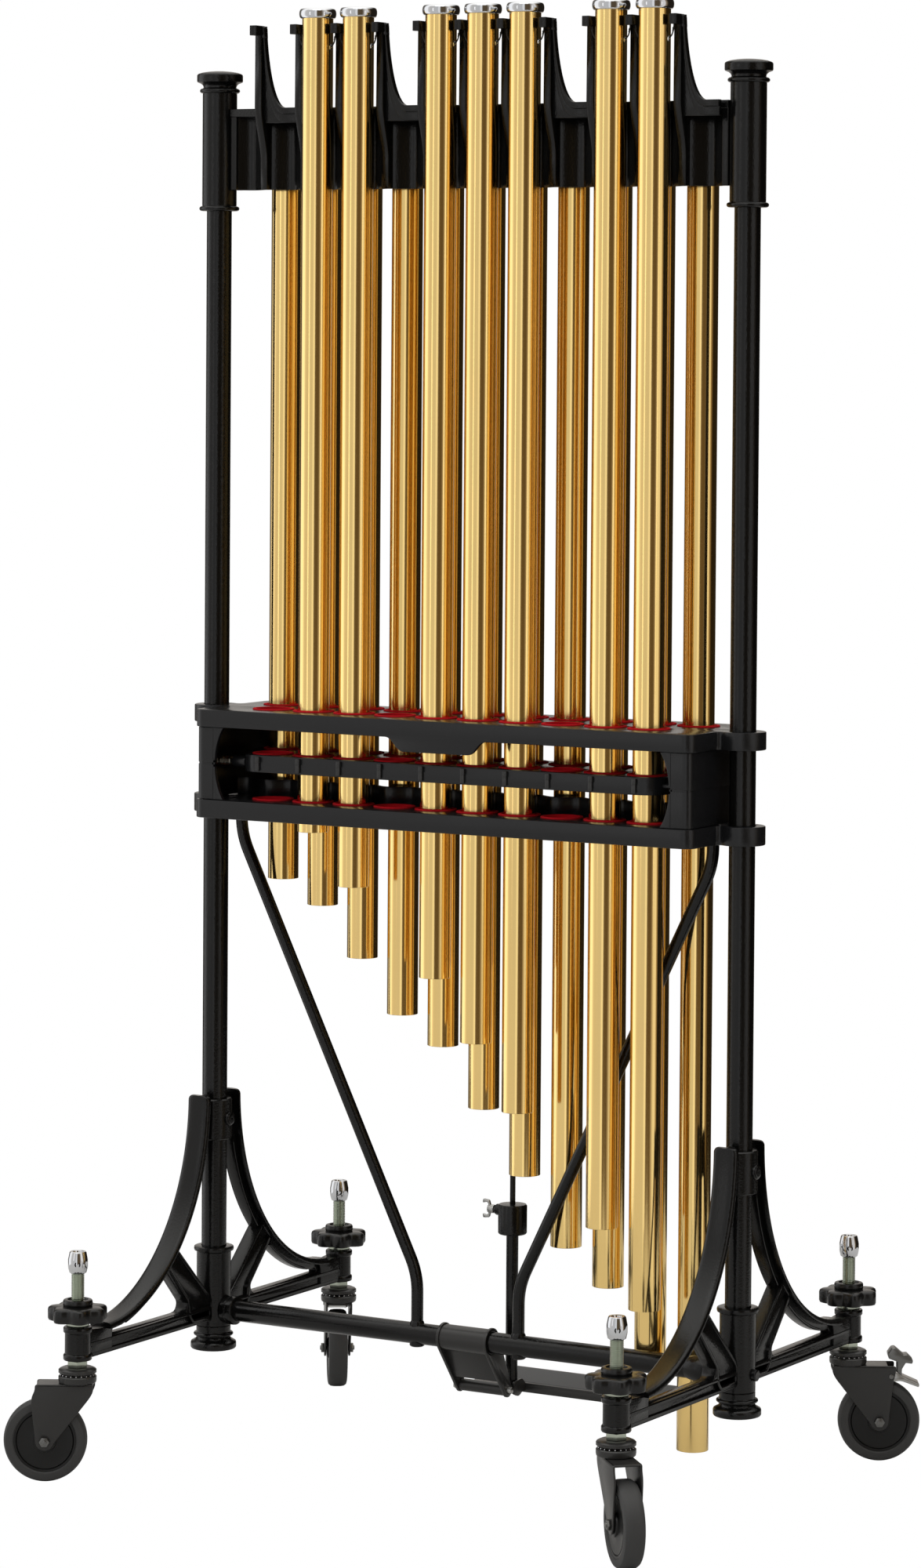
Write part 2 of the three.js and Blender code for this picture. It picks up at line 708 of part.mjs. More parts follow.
function chimeHoles() {
  const holes = [];
  for (let place = 0; place < REAR_PLACES; place++) {
    holes.push(ringHole(rearX(place), rearY, HOLE_RADIUS, HOLE_SIDES));
  }
  for (let place = 0; place < FRONT_PLACES; place++) {
    holes.push(ringHole(rearX(place + 0.5), frontY, HOLE_RADIUS, HOLE_SIDES));
  }
  return holes;
}

function damperPlate(low, thickness) {
  const outline = damperOutline();
  outline.holes.push(...chimeHoles());
  for (const sign of [-1, 1]) {
    outline.holes.push(ringHole(sign * POST_X, 0, POST_RADIUS + PIN_GAP, 16));
  }
  return outline;
}

// The plain tab that hangs from the middle of the upper plate's front face.
function fasciaTab() {
  const top = UPPER_PLATE_BOTTOM + 4;
  const bottom = UPPER_PLATE_BOTTOM - TAB_DROP;
  const w = TAB_HALF_WIDTH;
  const s = TAB_SHOULDER;
  const outline = new THREE.Shape();
  outline.moveTo(-w - s, top);
  outline.lineTo(-w - s, UPPER_PLATE_BOTTOM);
  outline.bezierCurveTo(-w, UPPER_PLATE_BOTTOM, -w, bottom, -w + s, bottom);
  outline.lineTo(w - s, bottom);
  outline.bezierCurveTo(w, bottom, w, UPPER_PLATE_BOTTOM, w + s, UPPER_PLATE_BOTTOM);
  outline.lineTo(w + s, top);
  const face = -PLATE_HALF_DEPTH;
  return frontPlate(outline, face, face + TAB_THICKNESS, 5);
}

// The lower plate's pivot lug and pin for the bell crank.
function crankPivot() {
  const x = PULL_X + CRANK_ARM;
  const behind = PULL_Y + CRANK_THICKNESS / 2 + PIN_GAP;
  const top = LOWER_PLATE_BOTTOM + LOWER_PLATE_THICKNESS;
  const lug = box(x - 6, x + 6, behind, behind + 6, top - 1, CRANK_PIVOT_Z + 6);
  const pinStart = PULL_Y - CRANK_THICKNESS / 2 - 1;
  return join(lug, rodAlongY(LINK_PIN_RADIUS, pinStart, behind + 3, x, CRANK_PIVOT_Z, 10));
}

function addDamperPlates() {
  const upper = plate(
    damperPlate(),
    UPPER_PLATE_BOTTOM,
    UPPER_PLATE_BOTTOM + UPPER_PLATE_THICKNESS,
    3,
  );
  addPart("damper_upper_plate", join(upper, fasciaTab()), "box");
  const lowerOutline = damperPlate();
  lowerOutline.holes.push(ringHole(PULL_X, PULL_Y, PULL_ROD_RADIUS + 1.5, 10));
  const lower = plate(
    lowerOutline,
    LOWER_PLATE_BOTTOM,
    LOWER_PLATE_BOTTOM + LOWER_PLATE_THICKNESS,
    3,
  );
  const top = LOWER_PLATE_BOTTOM + LOWER_PLATE_THICKNESS;
  const half = PLATE_HALF_LENGTH - END_BLOCK_INSET - END_BLOCK_WALL - 1;
  const wall = weavingWall(half, top - 1, top + PLATE_WALL_HEIGHT, 4);
  addPart("damper_lower_plate", join(lower, crankPivot(), wall), "box");
}

// Where each guide rod runs, and how near the middle its tip comes.
function guides() {
  return [
    [GUIDE_FRONT_Y, BAR_FRONT_LENGTH - GUIDE_FRONT_ENTRY],
    [GUIDE_REAR_Y, BAR_REAR_LENGTH - GUIDE_REAR_ENTRY],
  ];
}

// An end block: a C in plan between the plates, with bowed inner edges and two guide rods.
function endBlock(sign) {
  const low = LOWER_PLATE_BOTTOM + LOWER_PLATE_THICKNESS + GAP;
  const high = UPPER_PLATE_BOTTOM - GAP;
  const middle = (low + high) / 2;
  const outer = PLATE_HALF_LENGTH - END_BLOCK_INSET;
  const inner = outer - END_BLOCK_WALL;
  const depth = PLATE_HALF_DEPTH - END_BLOCK_INSET;
  const c = PLATE_CORNER - END_BLOCK_INSET;
  const edge = PLATE_HALF_LENGTH - END_BLOCK_RETURN;
  const outline = new THREE.Shape();
  outline.moveTo(edge, -depth);
  outline.lineTo(outer - c, -depth);
  outline.absarc(outer - c, -depth + c, c, -Math.PI / 2, 0);
  outline.lineTo(outer, depth - c);
  outline.absarc(outer - c, depth - c, c, 0, Math.PI / 2);
  outline.lineTo(edge, depth);
  outline.lineTo(edge, depth - END_BLOCK_WALL);
  outline.lineTo(inner, depth - END_BLOCK_WALL);
  outline.lineTo(inner, -depth + END_BLOCK_WALL);
  outline.lineTo(edge, -depth + END_BLOCK_WALL);
  let block = plate(outline, low, high, 4);
  const bow = new THREE.Shape();
  bow.moveTo(edge - 5, low - 1);
  bow.lineTo(edge - 1, low - 1);
  bow.bezierCurveTo(
    edge + END_BLOCK_BULGE,
    low + 22,
    edge + END_BLOCK_BULGE,
    high - 22,
    edge - 1,
    high + 1,
  );
  bow.lineTo(edge - 5, high + 1);
  block = block.subtract(frontPlate(bow, -PLATE_HALF_DEPTH, PLATE_HALF_DEPTH, 8));
  const groove = 1.2;
  const seam = box(outer - 0.8, outer + 2, -depth - 1, depth + 1, middle - groove, middle + groove);
  block = block.subtract(seam);
  const guideZ = BAR_BOTTOM + BAR_THICKNESS / 2;
  for (const [y, tip] of guides()) {
    block = block.add(rodAlongX(GUIDE_RADIUS, tip, inner + 2, y, guideZ, 10));
  }
    return sign > 0 ? block : block.mirror([1, 0, 0]);
}

function addEndBlocks() {
  addPart("end_block_left", endBlock(-1), "box");
  addPart("end_block_right", endBlock(1), "box");
}

// The sliding bar with the same holes as the plates.
function addDamperBar() {
  const l = BAR_FRONT_LENGTH;
  const m = BAR_REAR_LENGTH;
  const d = BAR_HALF_DEPTH;
  const c = BAR_CORNER;
  const outline = new THREE.Shape();
  outline.moveTo(-l + c, -d);
  outline.lineTo(l - c, -d);
  outline.absarc(l - c, -d + c, c, -Math.PI / 2, 0);
  outline.lineTo(l, -c);
  outline.bezierCurveTo(l, -c / 2, m, -c / 2, m, 0);
  outline.absarc(m - c, d - c, c, 0, Math.PI / 2);
  outline.absarc(-m + c, d - c, c, Math.PI / 2, Math.PI);
  outline.lineTo(-m, 0);
  outline.bezierCurveTo(-m, -c / 2, -l, -c / 2, -l, -c);
  outline.absarc(-l + c, -d + c, c, Math.PI, 1.5 * Math.PI);
  outline.holes.push(...chimeHoles());
  let bar = plate(outline, BAR_BOTTOM, BAR_BOTTOM + BAR_THICKNESS, 3);
  const guideZ = BAR_BOTTOM + BAR_THICKNESS / 2;
  const seat = rodAlongX(GUIDE_RADIUS + 4, -l - SPRING_SEAT, -l + 6, GUIDE_FRONT_Y, guideZ, 14);
  bar = bar.add(seat);
  for (const [y, tip] of guides()) {
    const hole = rodAlongX(GUIDE_RADIUS + PIN_GAP, tip - 3.5, m + 24, y, guideZ, 10);
    bar = bar.subtract(hole).subtract(hole.mirror([1, 0, 0]));
  }
  const slotX = PULL_X + CRANK_ARM;
  const reach = PULL_Y - CRANK_THICKNESS / 2 - 1;
  const slot = LINK_PIN_RADIUS + PIN_GAP + 0.3;
  bar = bar.subtract(
    box(slotX - slot, slotX + slot, reach, d + 1, BAR_BOTTOM - 1, BAR_BOTTOM + 8),
  );
  addPart("damper_bar", bar, "box");
}

// The horizontal coil spring that returns the bar, one unbroken wire.
function addReturnSpring() {
  const wall = -(PLATE_HALF_LENGTH - END_BLOCK_INSET - END_BLOCK_WALL);
  const wire = SPRING_WIRE / 2;
  const start = wall + GAP + wire;
  const end = -BAR_FRONT_LENGTH - SPRING_SEAT - GAP - wire;
  const z = BAR_BOTTOM + BAR_THICKNESS / 2;
  const stepsPerCurl = 8;
  const sides = 5;
  const steps = SPRING_CURLS * stepsPerCurl;
  const pitch = (end - start) / SPRING_CURLS;
  const points = [];
  const rings = [];
  for (let i = 0; i <= steps; i++) {
    const angle = (2 * Math.PI * i) / stepsPerCurl;
    const out = new THREE.Vector3(0, Math.cos(angle), Math.sin(angle));
    const centre = new THREE.Vector3(start + (pitch * i) / stepsPerCurl, GUIDE_FRONT_Y, z);
    centre.addScaledVector(out, SPRING_RADIUS);
    points.push(centre);
    for (let k = 0; k < sides; k++) {
      const around = (2 * Math.PI * k) / sides;
      const place = centre.clone().addScaledVector(out, wire * Math.cos(around));
      place.x += wire * Math.sin(around);
      rings.push(place.x, place.y, place.z);
    }
  }
  const faces = [];
  for (let i = 0; i < steps; i++) {
    for (let k = 0; k < sides; k++) {
      const a = i * sides + k;
      const b = i * sides + ((k + 1) % sides);
      faces.push(a, b, a + sides, b, b + sides, a + sides);
    }
  }
  const last = steps * sides;
  for (let k = 1; k < sides - 1; k++) {
    faces.push(0, k + 1, k, last, last + k, last + k + 1);
  }
  const geometry = new THREE.BufferGeometry();
  geometry.setAttribute("position", new THREE.Float32BufferAttribute(rings, 3));
  geometry.setIndex(faces);
  let least = Infinity;
  for (let i = 0; i < points.length; i++) {
    for (let j = i + stepsPerCurl - 2; j < points.length; j++) {
      least = Math.min(least, points[i].distanceTo(points[j]) - SPRING_WIRE);
    }
  }
  console.log("return spring: least gap between curls " + least.toFixed(2) + " mm");
  addPart("return_spring", solid(geometry), "steel");
}

// The bell crank that turns the rod's pull into the bar's slide.
function addBellCrank() {
  const x = PULL_X + CRANK_ARM;
  const z = CRANK_PIVOT_Z;
  const w = CRANK_HALF_WIDTH;
  const outline = shapeOf([
    [PULL_X - w, z - w],
    [x + w, z - w],
    [x + w, z + w],
    [x + LINK_PIN_RADIUS, z + CRANK_ARM + 3],
    [x - LINK_PIN_RADIUS, z + CRANK_ARM + 3],
    [x - w, z + w],
    [PULL_X - w, z + w],
  ]);
  const y0 = PULL_Y - CRANK_THICKNESS / 2;
  let crank = frontPlate(outline, y0, y0 + CRANK_THICKNESS);
  crank = crank.subtract(rodAlongY(LINK_PIN_RADIUS + PIN_GAP, y0 - 2, y0 + 9, x, z, 10));
  crank = crank.add(rodAlongY(LINK_PIN_RADIUS, y0 - 9, y0 + 1, PULL_X, z, 10));
  addPart("bell_crank", crank, "steel");
}

// The pull rod, with a flat eye at the top beside the crank.
function addPullLinkage() {
  const eyeY = PULL_Y - CRANK_THICKNESS / 2 - PIN_GAP;
  const top = CRANK_PIVOT_Z;
  let rod = cylinder(PULL_ROD_RADIUS, PULL_ROD_BOTTOM, top - 10, PULL_X, PULL_Y, 12);
  rod = rod.add(box(PULL_X - 3, PULL_X + 3, eyeY - 5, PULL_Y + 2, top - 12.5, top - 7.5));
  rod = rod.add(box(PULL_X - 5, PULL_X + 5, eyeY - 5, eyeY, top - 12.5, top + 6));
  rod = rod.subtract(
    rodAlongY(LINK_PIN_RADIUS + PIN_GAP, eyeY - 8, eyeY + 1, PULL_X, top, 10),
  );
  addPart("pull_rod", rod, "frame");

  let tube = turned(
    [
      [PULL_TUBE_BORE, PULL_TUBE_BOTTOM],
      [PULL_TUBE_RADIUS, PULL_TUBE_BOTTOM],
      [PULL_TUBE_RADIUS, PULL_TUBE_TOP],
      [PULL_TUBE_BORE, PULL_TUBE_TOP],
      [PULL_TUBE_BORE, PULL_TUBE_BOTTOM],
    ],
    12,
    PULL_X,
    PULL_Y,
  );
  tube = tube.subtract(
    rodAlongX(LINK_PIN_RADIUS + PIN_GAP, PULL_X - 12, PULL_X + 12, PULL_Y, PIVOT_Z, 10),
  );
  addPart("pull_tube", tube, "frame");

  const step = PULL_TUBE_TOP + GAP;
  const wide = PULL_TUBE_RADIUS + GAP;
  const narrow = PULL_ROD_RADIUS + GAP;
  let collar = turned(
    [
      [wide, COLLAR_BOTTOM],
      [COLLAR_RADIUS, COLLAR_BOTTOM],
      [COLLAR_RADIUS, COLLAR_TOP - 2],
      [COLLAR_RADIUS - 2, COLLAR_TOP],
      [narrow, COLLAR_TOP],
      [narrow, step],
      [wide, step],
      [wide, COLLAR_BOTTOM],
    ],
    12,
    PULL_X,
    PULL_Y,
  );
  const screwZ = SCREW_Z;
  const boss = rodAlongX(7, PULL_X - COLLAR_RADIUS - 5, PULL_X - 10, PULL_Y, screwZ, 14);
  const thread = rodAlongX(3 + GAP, PULL_X - COLLAR_RADIUS - 9, PULL_X - 1, PULL_Y, screwZ, 12);
  collar = collar.add(boss).subtract(thread);
  addPart("clamp_collar", collar, "frame");

  const shaftEnd = PULL_X - COLLAR_RADIUS - 8;
  const shaft = rodAlongX(3, shaftEnd, PULL_X - PULL_ROD_RADIUS - GAP, PULL_Y, screwZ, 12);
  const hub = rodAlongX(5.5, shaftEnd - 8, shaftEnd + 1, PULL_Y, screwZ, 12);
  const wing = shapeOf([
    [-4, -4],
    [-6, -11],
    [-15, -12],
    [-16, -6],
    [-8, 0],
    [-16, 6],
    [-15, 12],
    [-6, 11],
    [-4, 4],
  ]);
  const wings = frontPlate(wing, -2, 2).translate([shaftEnd, PULL_Y, screwZ]);
  addPart("wing_screw", join(shaft, hub, wings), "chrome");
}

// The crossbar between the hubs with two bent braces welded to it.
function addLowerFrame() {
  const end = POST_X - SLEEVE_RADIUS - GAP;
  let frame = rodAlongX(CROSSBAR_RADIUS, -end + 1, end - 1, 0, CROSSBAR_Z, 12);
  for (const sign of [-1, 1]) {
    const ring = rodAlongX(CROSSBAR_RADIUS + 5, end - 14, end, 0, CROSSBAR_Z, 12);
    frame = frame.add(sign > 0 ? ring : ring.mirror([1, 0, 0]));
    const top = LOWER_PLATE_BOTTOM - GAP;
    const knee = CROSSBAR_Z + BRACE_FOOT_RISE;
    const path = bentPoints(
      [
        new THREE.Vector3(sign * BRACE_TOP_X, 0, top),
        new THREE.Vector3(sign * BRACE_TOP_X, 0, top - BRACE_KNEE_DROP),
        new THREE.Vector3(sign * BRACE_FOOT_X, 0, knee),
        new THREE.Vector3(sign * BRACE_FOOT_X, 0, CROSSBAR_Z - 2),
      ],
      22,
      4,
    );
    frame = frame.add(barThrough(path, BRACE_RADIUS, 8));
    const foot = BRACE_RADIUS + 2;
    frame = frame.add(
      cylinder(
        foot,
        CROSSBAR_Z - CROSSBAR_RADIUS - 3,
        CROSSBAR_Z + CROSSBAR_RADIUS + 3,
        sign * BRACE_FOOT_X,
        0,
        10,
      ),
    );
  }
  const flat = 1.28;
  const flare = new THREE.CylinderGeometry(CROSSBAR_RADIUS, CROSSBAR_RADIUS, 34, 16);
  flare.rotateZ(Math.PI / 2);
  flare.scale(1, 0.9, flat);
  flare.translate(end - 27, 0, CROSSBAR_Z);
  addPart("lower_frame", frame.add(solid(flare)), "frame");
}

// The sheet bracket that hangs the pedal pivot from the crossbar.
function addPedalBracket() {
  const w = BRACKET_HALF_WIDTH;
  const bore = CROSSBAR_RADIUS + GAP;
  const outline = (radius) => {
    const angle = Math.atan2(PIVOT_Z - CROSSBAR_Z, PIVOT_Y);
    const shape = new THREE.Shape();
    shape.absarc(0, CROSSBAR_Z, radius, angle + Math.PI / 2, angle - Math.PI / 2 + 2 * Math.PI);
    shape.absarc(PIVOT_Y, PIVOT_Z, 9, angle - Math.PI / 2, angle + Math.PI / 2);
    return shape;
  };
  let bracket = rodAlongX(bore + 2.5, -w, w, 0, CROSSBAR_Z, 16);
  for (const sign of [-1, 1]) {
    const x = sign * (w - CHEEK_THICKNESS / 2);
    bracket = bracket.add(sidePlate(outline(bore + 4.5), x, CHEEK_THICKNESS, 5));
  }
  const web = shapeOf([
    [-2, CROSSBAR_Z - bore + 1],
    [PIVOT_Y - 18, PIVOT_Z + 12],
    [PIVOT_Y - 15, PIVOT_Z + 14],
    [3, CROSSBAR_Z - bore + 1],
  ]);
  bracket = bracket.add(sidePlate(web, 0, 2 * w - 1));
  bracket = bracket.subtract(rodAlongX(bore, -w - 1, w + 1, 0, CROSSBAR_Z, 16));
  bracket = bracket.subtract(
    rodAlongX(PIVOT_PIN_RADIUS + GAP, -w - 1, w + 1, PIVOT_Y, PIVOT_Z, 12),
  );
  addPart("pedal_bracket", bracket, "frame");

  const pinEnd = w + 5;
  const pin = join(
    rodAlongX(PIVOT_PIN_RADIUS, -pinEnd, pinEnd, PIVOT_Y, PIVOT_Z, 12),
    rodAlongX(PIVOT_PIN_RADIUS + 2.5, -pinEnd, -w - GAP, PIVOT_Y, PIVOT_Z, 12),
  );
  addPart("pedal_pin", pin, "steel");
}

// The pedal: a hub on the pin, a strap with the link pin and the wide foot plate.
function addPedal() {
  const w = BRACKET_HALF_WIDTH - CHEEK_THICKNESS - PIN_GAP;
  const top = PIVOT_Z + FOOT_PLATE_THICKNESS / 2;
  const low = PIVOT_Z - FOOT_PLATE_THICKNESS / 2;
  const tubeSide = PULL_X + PULL_TUBE_RADIUS;
  const bore = rodAlongX(PIVOT_PIN_RADIUS + GAP, -w - 1, w + 1, PIVOT_Y, PIVOT_Z, 12);
  let pedal = rodAlongX(PEDAL_HUB_RADIUS, -w, w, PIVOT_Y, PIVOT_Z, 16);
  pedal = pedal.add(box(-28, 8, PIVOT_Y + 4, FOOT_PLATE_NEAR + 6, low, top));
  const plateOutline = new THREE.Shape();
  const r = 8;
  plateOutline.moveTo(FOOT_PLATE_LEFT, FOOT_PLATE_NEAR);
  plateOutline.lineTo(FOOT_PLATE_RIGHT - r, FOOT_PLATE_NEAR);
  plateOutline.quadraticCurveTo(
    FOOT_PLATE_RIGHT,
    FOOT_PLATE_NEAR,
    FOOT_PLATE_RIGHT,
    FOOT_PLATE_NEAR + r,
  );
  plateOutline.lineTo(FOOT_PLATE_RIGHT, FOOT_PLATE_FAR - r);
  plateOutline.quadraticCurveTo(
    FOOT_PLATE_RIGHT,
    FOOT_PLATE_FAR,
    FOOT_PLATE_RIGHT - r,
    FOOT_PLATE_FAR,
  );
  plateOutline.lineTo(FOOT_PLATE_LEFT + r, FOOT_PLATE_FAR);
  plateOutline.quadraticCurveTo(
    FOOT_PLATE_LEFT,
    FOOT_PLATE_FAR,
    FOOT_PLATE_LEFT,
    FOOT_PLATE_FAR - r,
  );
  pedal = pedal.add(plate(plateOutline, low, top, 4));
  const lip = FOOT_PLATE_THICKNESS;
  const lipLow = top - FOOT_PLATE_LIP;
  for (const y of [FOOT_PLATE_NEAR, FOOT_PLATE_FAR - lip]) {
    pedal = pedal.add(
      box(FOOT_PLATE_LEFT + r, FOOT_PLATE_RIGHT - r, y, y + lip, lipLow, top - 1),
    );
  }
  const strap = shapeOf([
    [PIVOT_Y - 4, PIVOT_Z - 7],
    [PULL_Y - 2, PIVOT_Z - 13],
    [PULL_Y + 8, PIVOT_Z - 8],
    [FOOT_PLATE_NEAR + 3, PIVOT_Z - 8],
    [FOOT_PLATE_NEAR + 3, PIVOT_Z + 1],
    [PULL_Y + 8, PIVOT_Z + 9],
    [PIVOT_Y, PIVOT_Z + 7],
  ]);
  const strapX = tubeSide + PIN_GAP + 1.5;
  let side = sidePlate(strap, strapX, 3);
  side = side.subtract(
    box(strapX - 3, strapX + 3, PIVOT_Y - 20, PIVOT_Y + 13, PIVOT_Z - 20, PIVOT_Z + 20),
  );
  pedal = pedal.add(side);
  const pinFrom = PULL_X - PULL_TUBE_RADIUS - 1;
  pedal = pedal.add(rodAlongX(LINK_PIN_RADIUS, pinFrom, strapX + 1, PULL_Y, PIVOT_Z, 10));
  addPart("pedal", pedal.subtract(bore), "frame");
}

// Points of the arch's quarter ellipse, grown outward by an inset, from the post down to the boss.
function archPoints(inset, from, to, steps) {
  const points = [];
  for (let i = 0; i <= steps; i++) {
    const angle = from + ((to - from) * i) / steps;
    const y = -ARCH_CENTRE_Y + (ARCH_HALF_SPAN + inset) * Math.cos(angle);
    const z = ARCH_CENTRE_Z - (ARCH_HALF_RISE + inset) * Math.sin(angle);
    points.push([y, z]);
  }
  return points;
}

// One side of a leg casting, towards -Y.
function legSide() {
  const inner = ARCH_WEB_DEPTH;
  const barTop = BOSS_BOTTOM + LEG_BAR_HEIGHT;
  const hubEdge = -SLEEVE_RADIUS + 2;
  const outer = archPoints(2.5, Math.PI / 2, 0, 9);
  const collarAngle = Math.asin(LEG_COLLAR_DEPTH / (ARCH_HALF_RISE + inner));
  const neck = archPoints(inner, collarAngle, STRUT_UPPER_ANGLE, 4);
  const edge = [
    [0, BOSS_BOTTOM],
    [-LEG_REACH, BOSS_BOTTOM],
    [-LEG_REACH, BOSS_TOP - 4],
    ...outer,
    [-LEG_COLLAR_RADIUS + 3, ARCH_CENTRE_Z],
    [-LEG_COLLAR_RADIUS + 3, LEG_COLLAR_BOTTOM],
    ...neck,
    [hubEdge, STRUT_HUB_TOP],
    [0, STRUT_HUB_TOP],
  ];
  const outline = shapeOf(edge.reverse());
  const window = shapeOf([
    [STRUT_FOOT_Y, barTop],
    [WINDOW_TIP_Y + 2, barTop],
    [WINDOW_TIP_Y, barTop + 4],
    [WINDOW_TIP_Y + 2, barTop + 8],
    ...archPoints(inner, 1.36, STRUT_LOWER_ANGLE, 4),
    [STRUT_FOOT_Y, barTop + 9],
  ]);
  outline.holes.push(window);
  const web = sidePlate(outline, 0, LEG_WEB);
  const flangeOutline = [
    ...archPoints(0, 0, 1.52, 9),
    ...archPoints(ARCH_FLANGE_THICKNESS, 1.52, 0, 9),
  ];
  const flange = sidePlate(shapeOf(flangeOutline), 0, ARCH_FLANGE_WIDTH);
  const strutOutline = [
    ...archPoints(2, STRUT_LOWER_ANGLE, STRUT_UPPER_ANGLE, 1),
    [hubEdge, STRUT_HUB_TOP],
    [hubEdge, barTop - 4],
    [STRUT_FOOT_Y, barTop - 4],
    [STRUT_FOOT_Y, barTop + 9],
  ];
  const strut = sidePlate(shapeOf(strutOutline), 0, LEG_BAR_WIDTH);
  const bar = box(
    -LEG_BAR_WIDTH / 2,
    LEG_BAR_WIDTH / 2,
    -LEG_REACH,
    0,
    BOSS_BOTTOM + 3,
    barTop,
  );
  const boss = turned(
    [
      [0, BOSS_BOTTOM],
      [BOSS_RING_RADIUS, BOSS_BOTTOM],
      [BOSS_RING_RADIUS, BOSS_BOTTOM + 7],
      [BOSS_RADIUS, BOSS_BOTTOM + 7],
      [BOSS_RADIUS, BOSS_TOP - 7],
      [BOSS_RING_RADIUS, BOSS_TOP - 7],
      [BOSS_RING_RADIUS, BOSS_TOP],
      [0, BOSS_TOP],
    ],
    12,
    0,
    -LEG_REACH,
  );
  const bore = cylinder(
    SPINDLE_RADIUS + GAP,
    BOSS_BOTTOM - 5,
    BOSS_TOP + 30,
    0,
    -LEG_REACH,
    12,
  );
  return join(web, flange, strut, bar, boss).subtract(bore);
}

function addLegs() {
  const front = legSide();
  const rear = front.mirror([0, 1, 0]);
  for (const [name, sign] of [
    ["left", -1],
    ["right", 1],
  ]) {
    const x = sign * POST_X;
    const hub = turned(
      [
        [0, HUB_BOTTOM],
        [SLEEVE_RADIUS, HUB_BOTTOM],
        [SLEEVE_RADIUS, HUB_TOP - SLEEVE_RING_HEIGHT],
        [SLEEVE_RING_RADIUS, HUB_TOP - SLEEVE_RING_HEIGHT],
        [SLEEVE_RING_RADIUS, HUB_TOP],
        [0, HUB_TOP],
      ],
      POST_SIDES,
    );
    const collar = cylinder(
      LEG_COLLAR_RADIUS,
      LEG_COLLAR_BOTTOM,
      LEG_COLLAR_TOP,
      0,
      0,
      POST_SIDES,
    );
    let leg = join(front, rear, hub, collar);
    const bolt = rodAlongX(7, SLEEVE_RADIUS - 4, SLEEVE_RADIUS + 5, 0, CROSSBAR_Z, 10);
    const collarBolt = rodAlongX(6.5, 16.5, LEG_COLLAR_RADIUS + 4, 0, LEG_COLLAR_BOLT_Z, 10);
    leg = leg.add(sign > 0 ? bolt : bolt.mirror([1, 0, 0]));
    leg = leg.add(collarBolt);
    leg = leg.subtract(
      cylinder(POST_RADIUS + GAP, HUB_BOTTOM - 5, ARCH_CENTRE_Z + 5, 0, 0, POST_SIDES),
    );
    addPart("leg_" + name, leg.translate([x, 0, 0]), "frame");

    const foot = turned(
      [
        [0, FOOT_BOTTOM],
        [FINIAL_RADIUS - 1, FOOT_BOTTOM],
        [FINIAL_RADIUS, FOOT_BOTTOM + 2],
        [FINIAL_RADIUS, FOOT_BOTTOM + 9],
        [SLEEVE_RADIUS, FOOT_BOTTOM + 13],
        [SLEEVE_RADIUS - 1, FOOT_BOTTOM + 15.5],
        [SLEEVE_RING_RADIUS, FOOT_BOTTOM + 17],
        [SLEEVE_RING_RADIUS, FOOT_BOTTOM + 21],
        [SLEEVE_RADIUS, FOOT_BOTTOM + 22.5],
        [SLEEVE_RADIUS, HUB_BOTTOM - GAP],
        [0, HUB_BOTTOM - GAP],
      ],
      POST_SIDES,
      x,
    );
    addPart("foot_" + name, foot, "frame");
  }
}

// The threaded stem with its cap nut, hex nut and upper ball race plate.
function spindle() {
  const r = SPINDLE_RADIUS;
  const cap = SPINDLE_CAP_RADIUS;
  const stem = turned(
    [
      [0, RACE_BOTTOM],
      [RACE_RADIUS, RACE_BOTTOM],
      [RACE_RADIUS - 1, RACE_TOP - 2],
      [RACE_RADIUS - 5, RACE_TOP],
      [r, RACE_TOP],
      [r, SPINDLE_CAP_BOTTOM],
      [cap - 2, SPINDLE_CAP_BOTTOM],
      [cap, SPINDLE_CAP_BOTTOM + 6],
      [cap, SPINDLE_CAP_TOP - 8],
      [cap - 2, SPINDLE_CAP_TOP],
      [0, SPINDLE_CAP_TOP],
    ],
    12,
  );
  return join(stem, cylinder(13, RACE_TOP - 1, BOSS_BOTTOM - GAP, 0, 0, 6));
}

// The star knob and the pale washer under it.
function starKnob() {
  const points = [];
  const steps = KNOB_LOBES * 4;
  for (let i = 0; i < steps; i++) {
    const angle = (2 * Math.PI * i) / steps;
    const radius = KNOB_RADIUS + KNOB_LOBE * Math.cos(KNOB_LOBES * angle);
    points.push([radius * Math.cos(angle), radius * Math.sin(angle)]);
  }
  const bodyTop = KNOB_BOTTOM + KNOB_BODY;
  const made = join(
    plate(shapeOf(points), KNOB_BOTTOM, bodyTop),
    cylinder(18, bodyTop - 1, bodyTop + KNOB_HUB, 0, 0, 12),
    cylinder(14, BOSS_TOP + GAP, KNOB_BOTTOM + 1, 0, 0, 12),
  );
  return made.subtract(
    cylinder(SPINDLE_RADIUS + GAP, BOSS_TOP - 5, bodyTop + KNOB_HUB + 5, 0, 0, 12),
  );
}

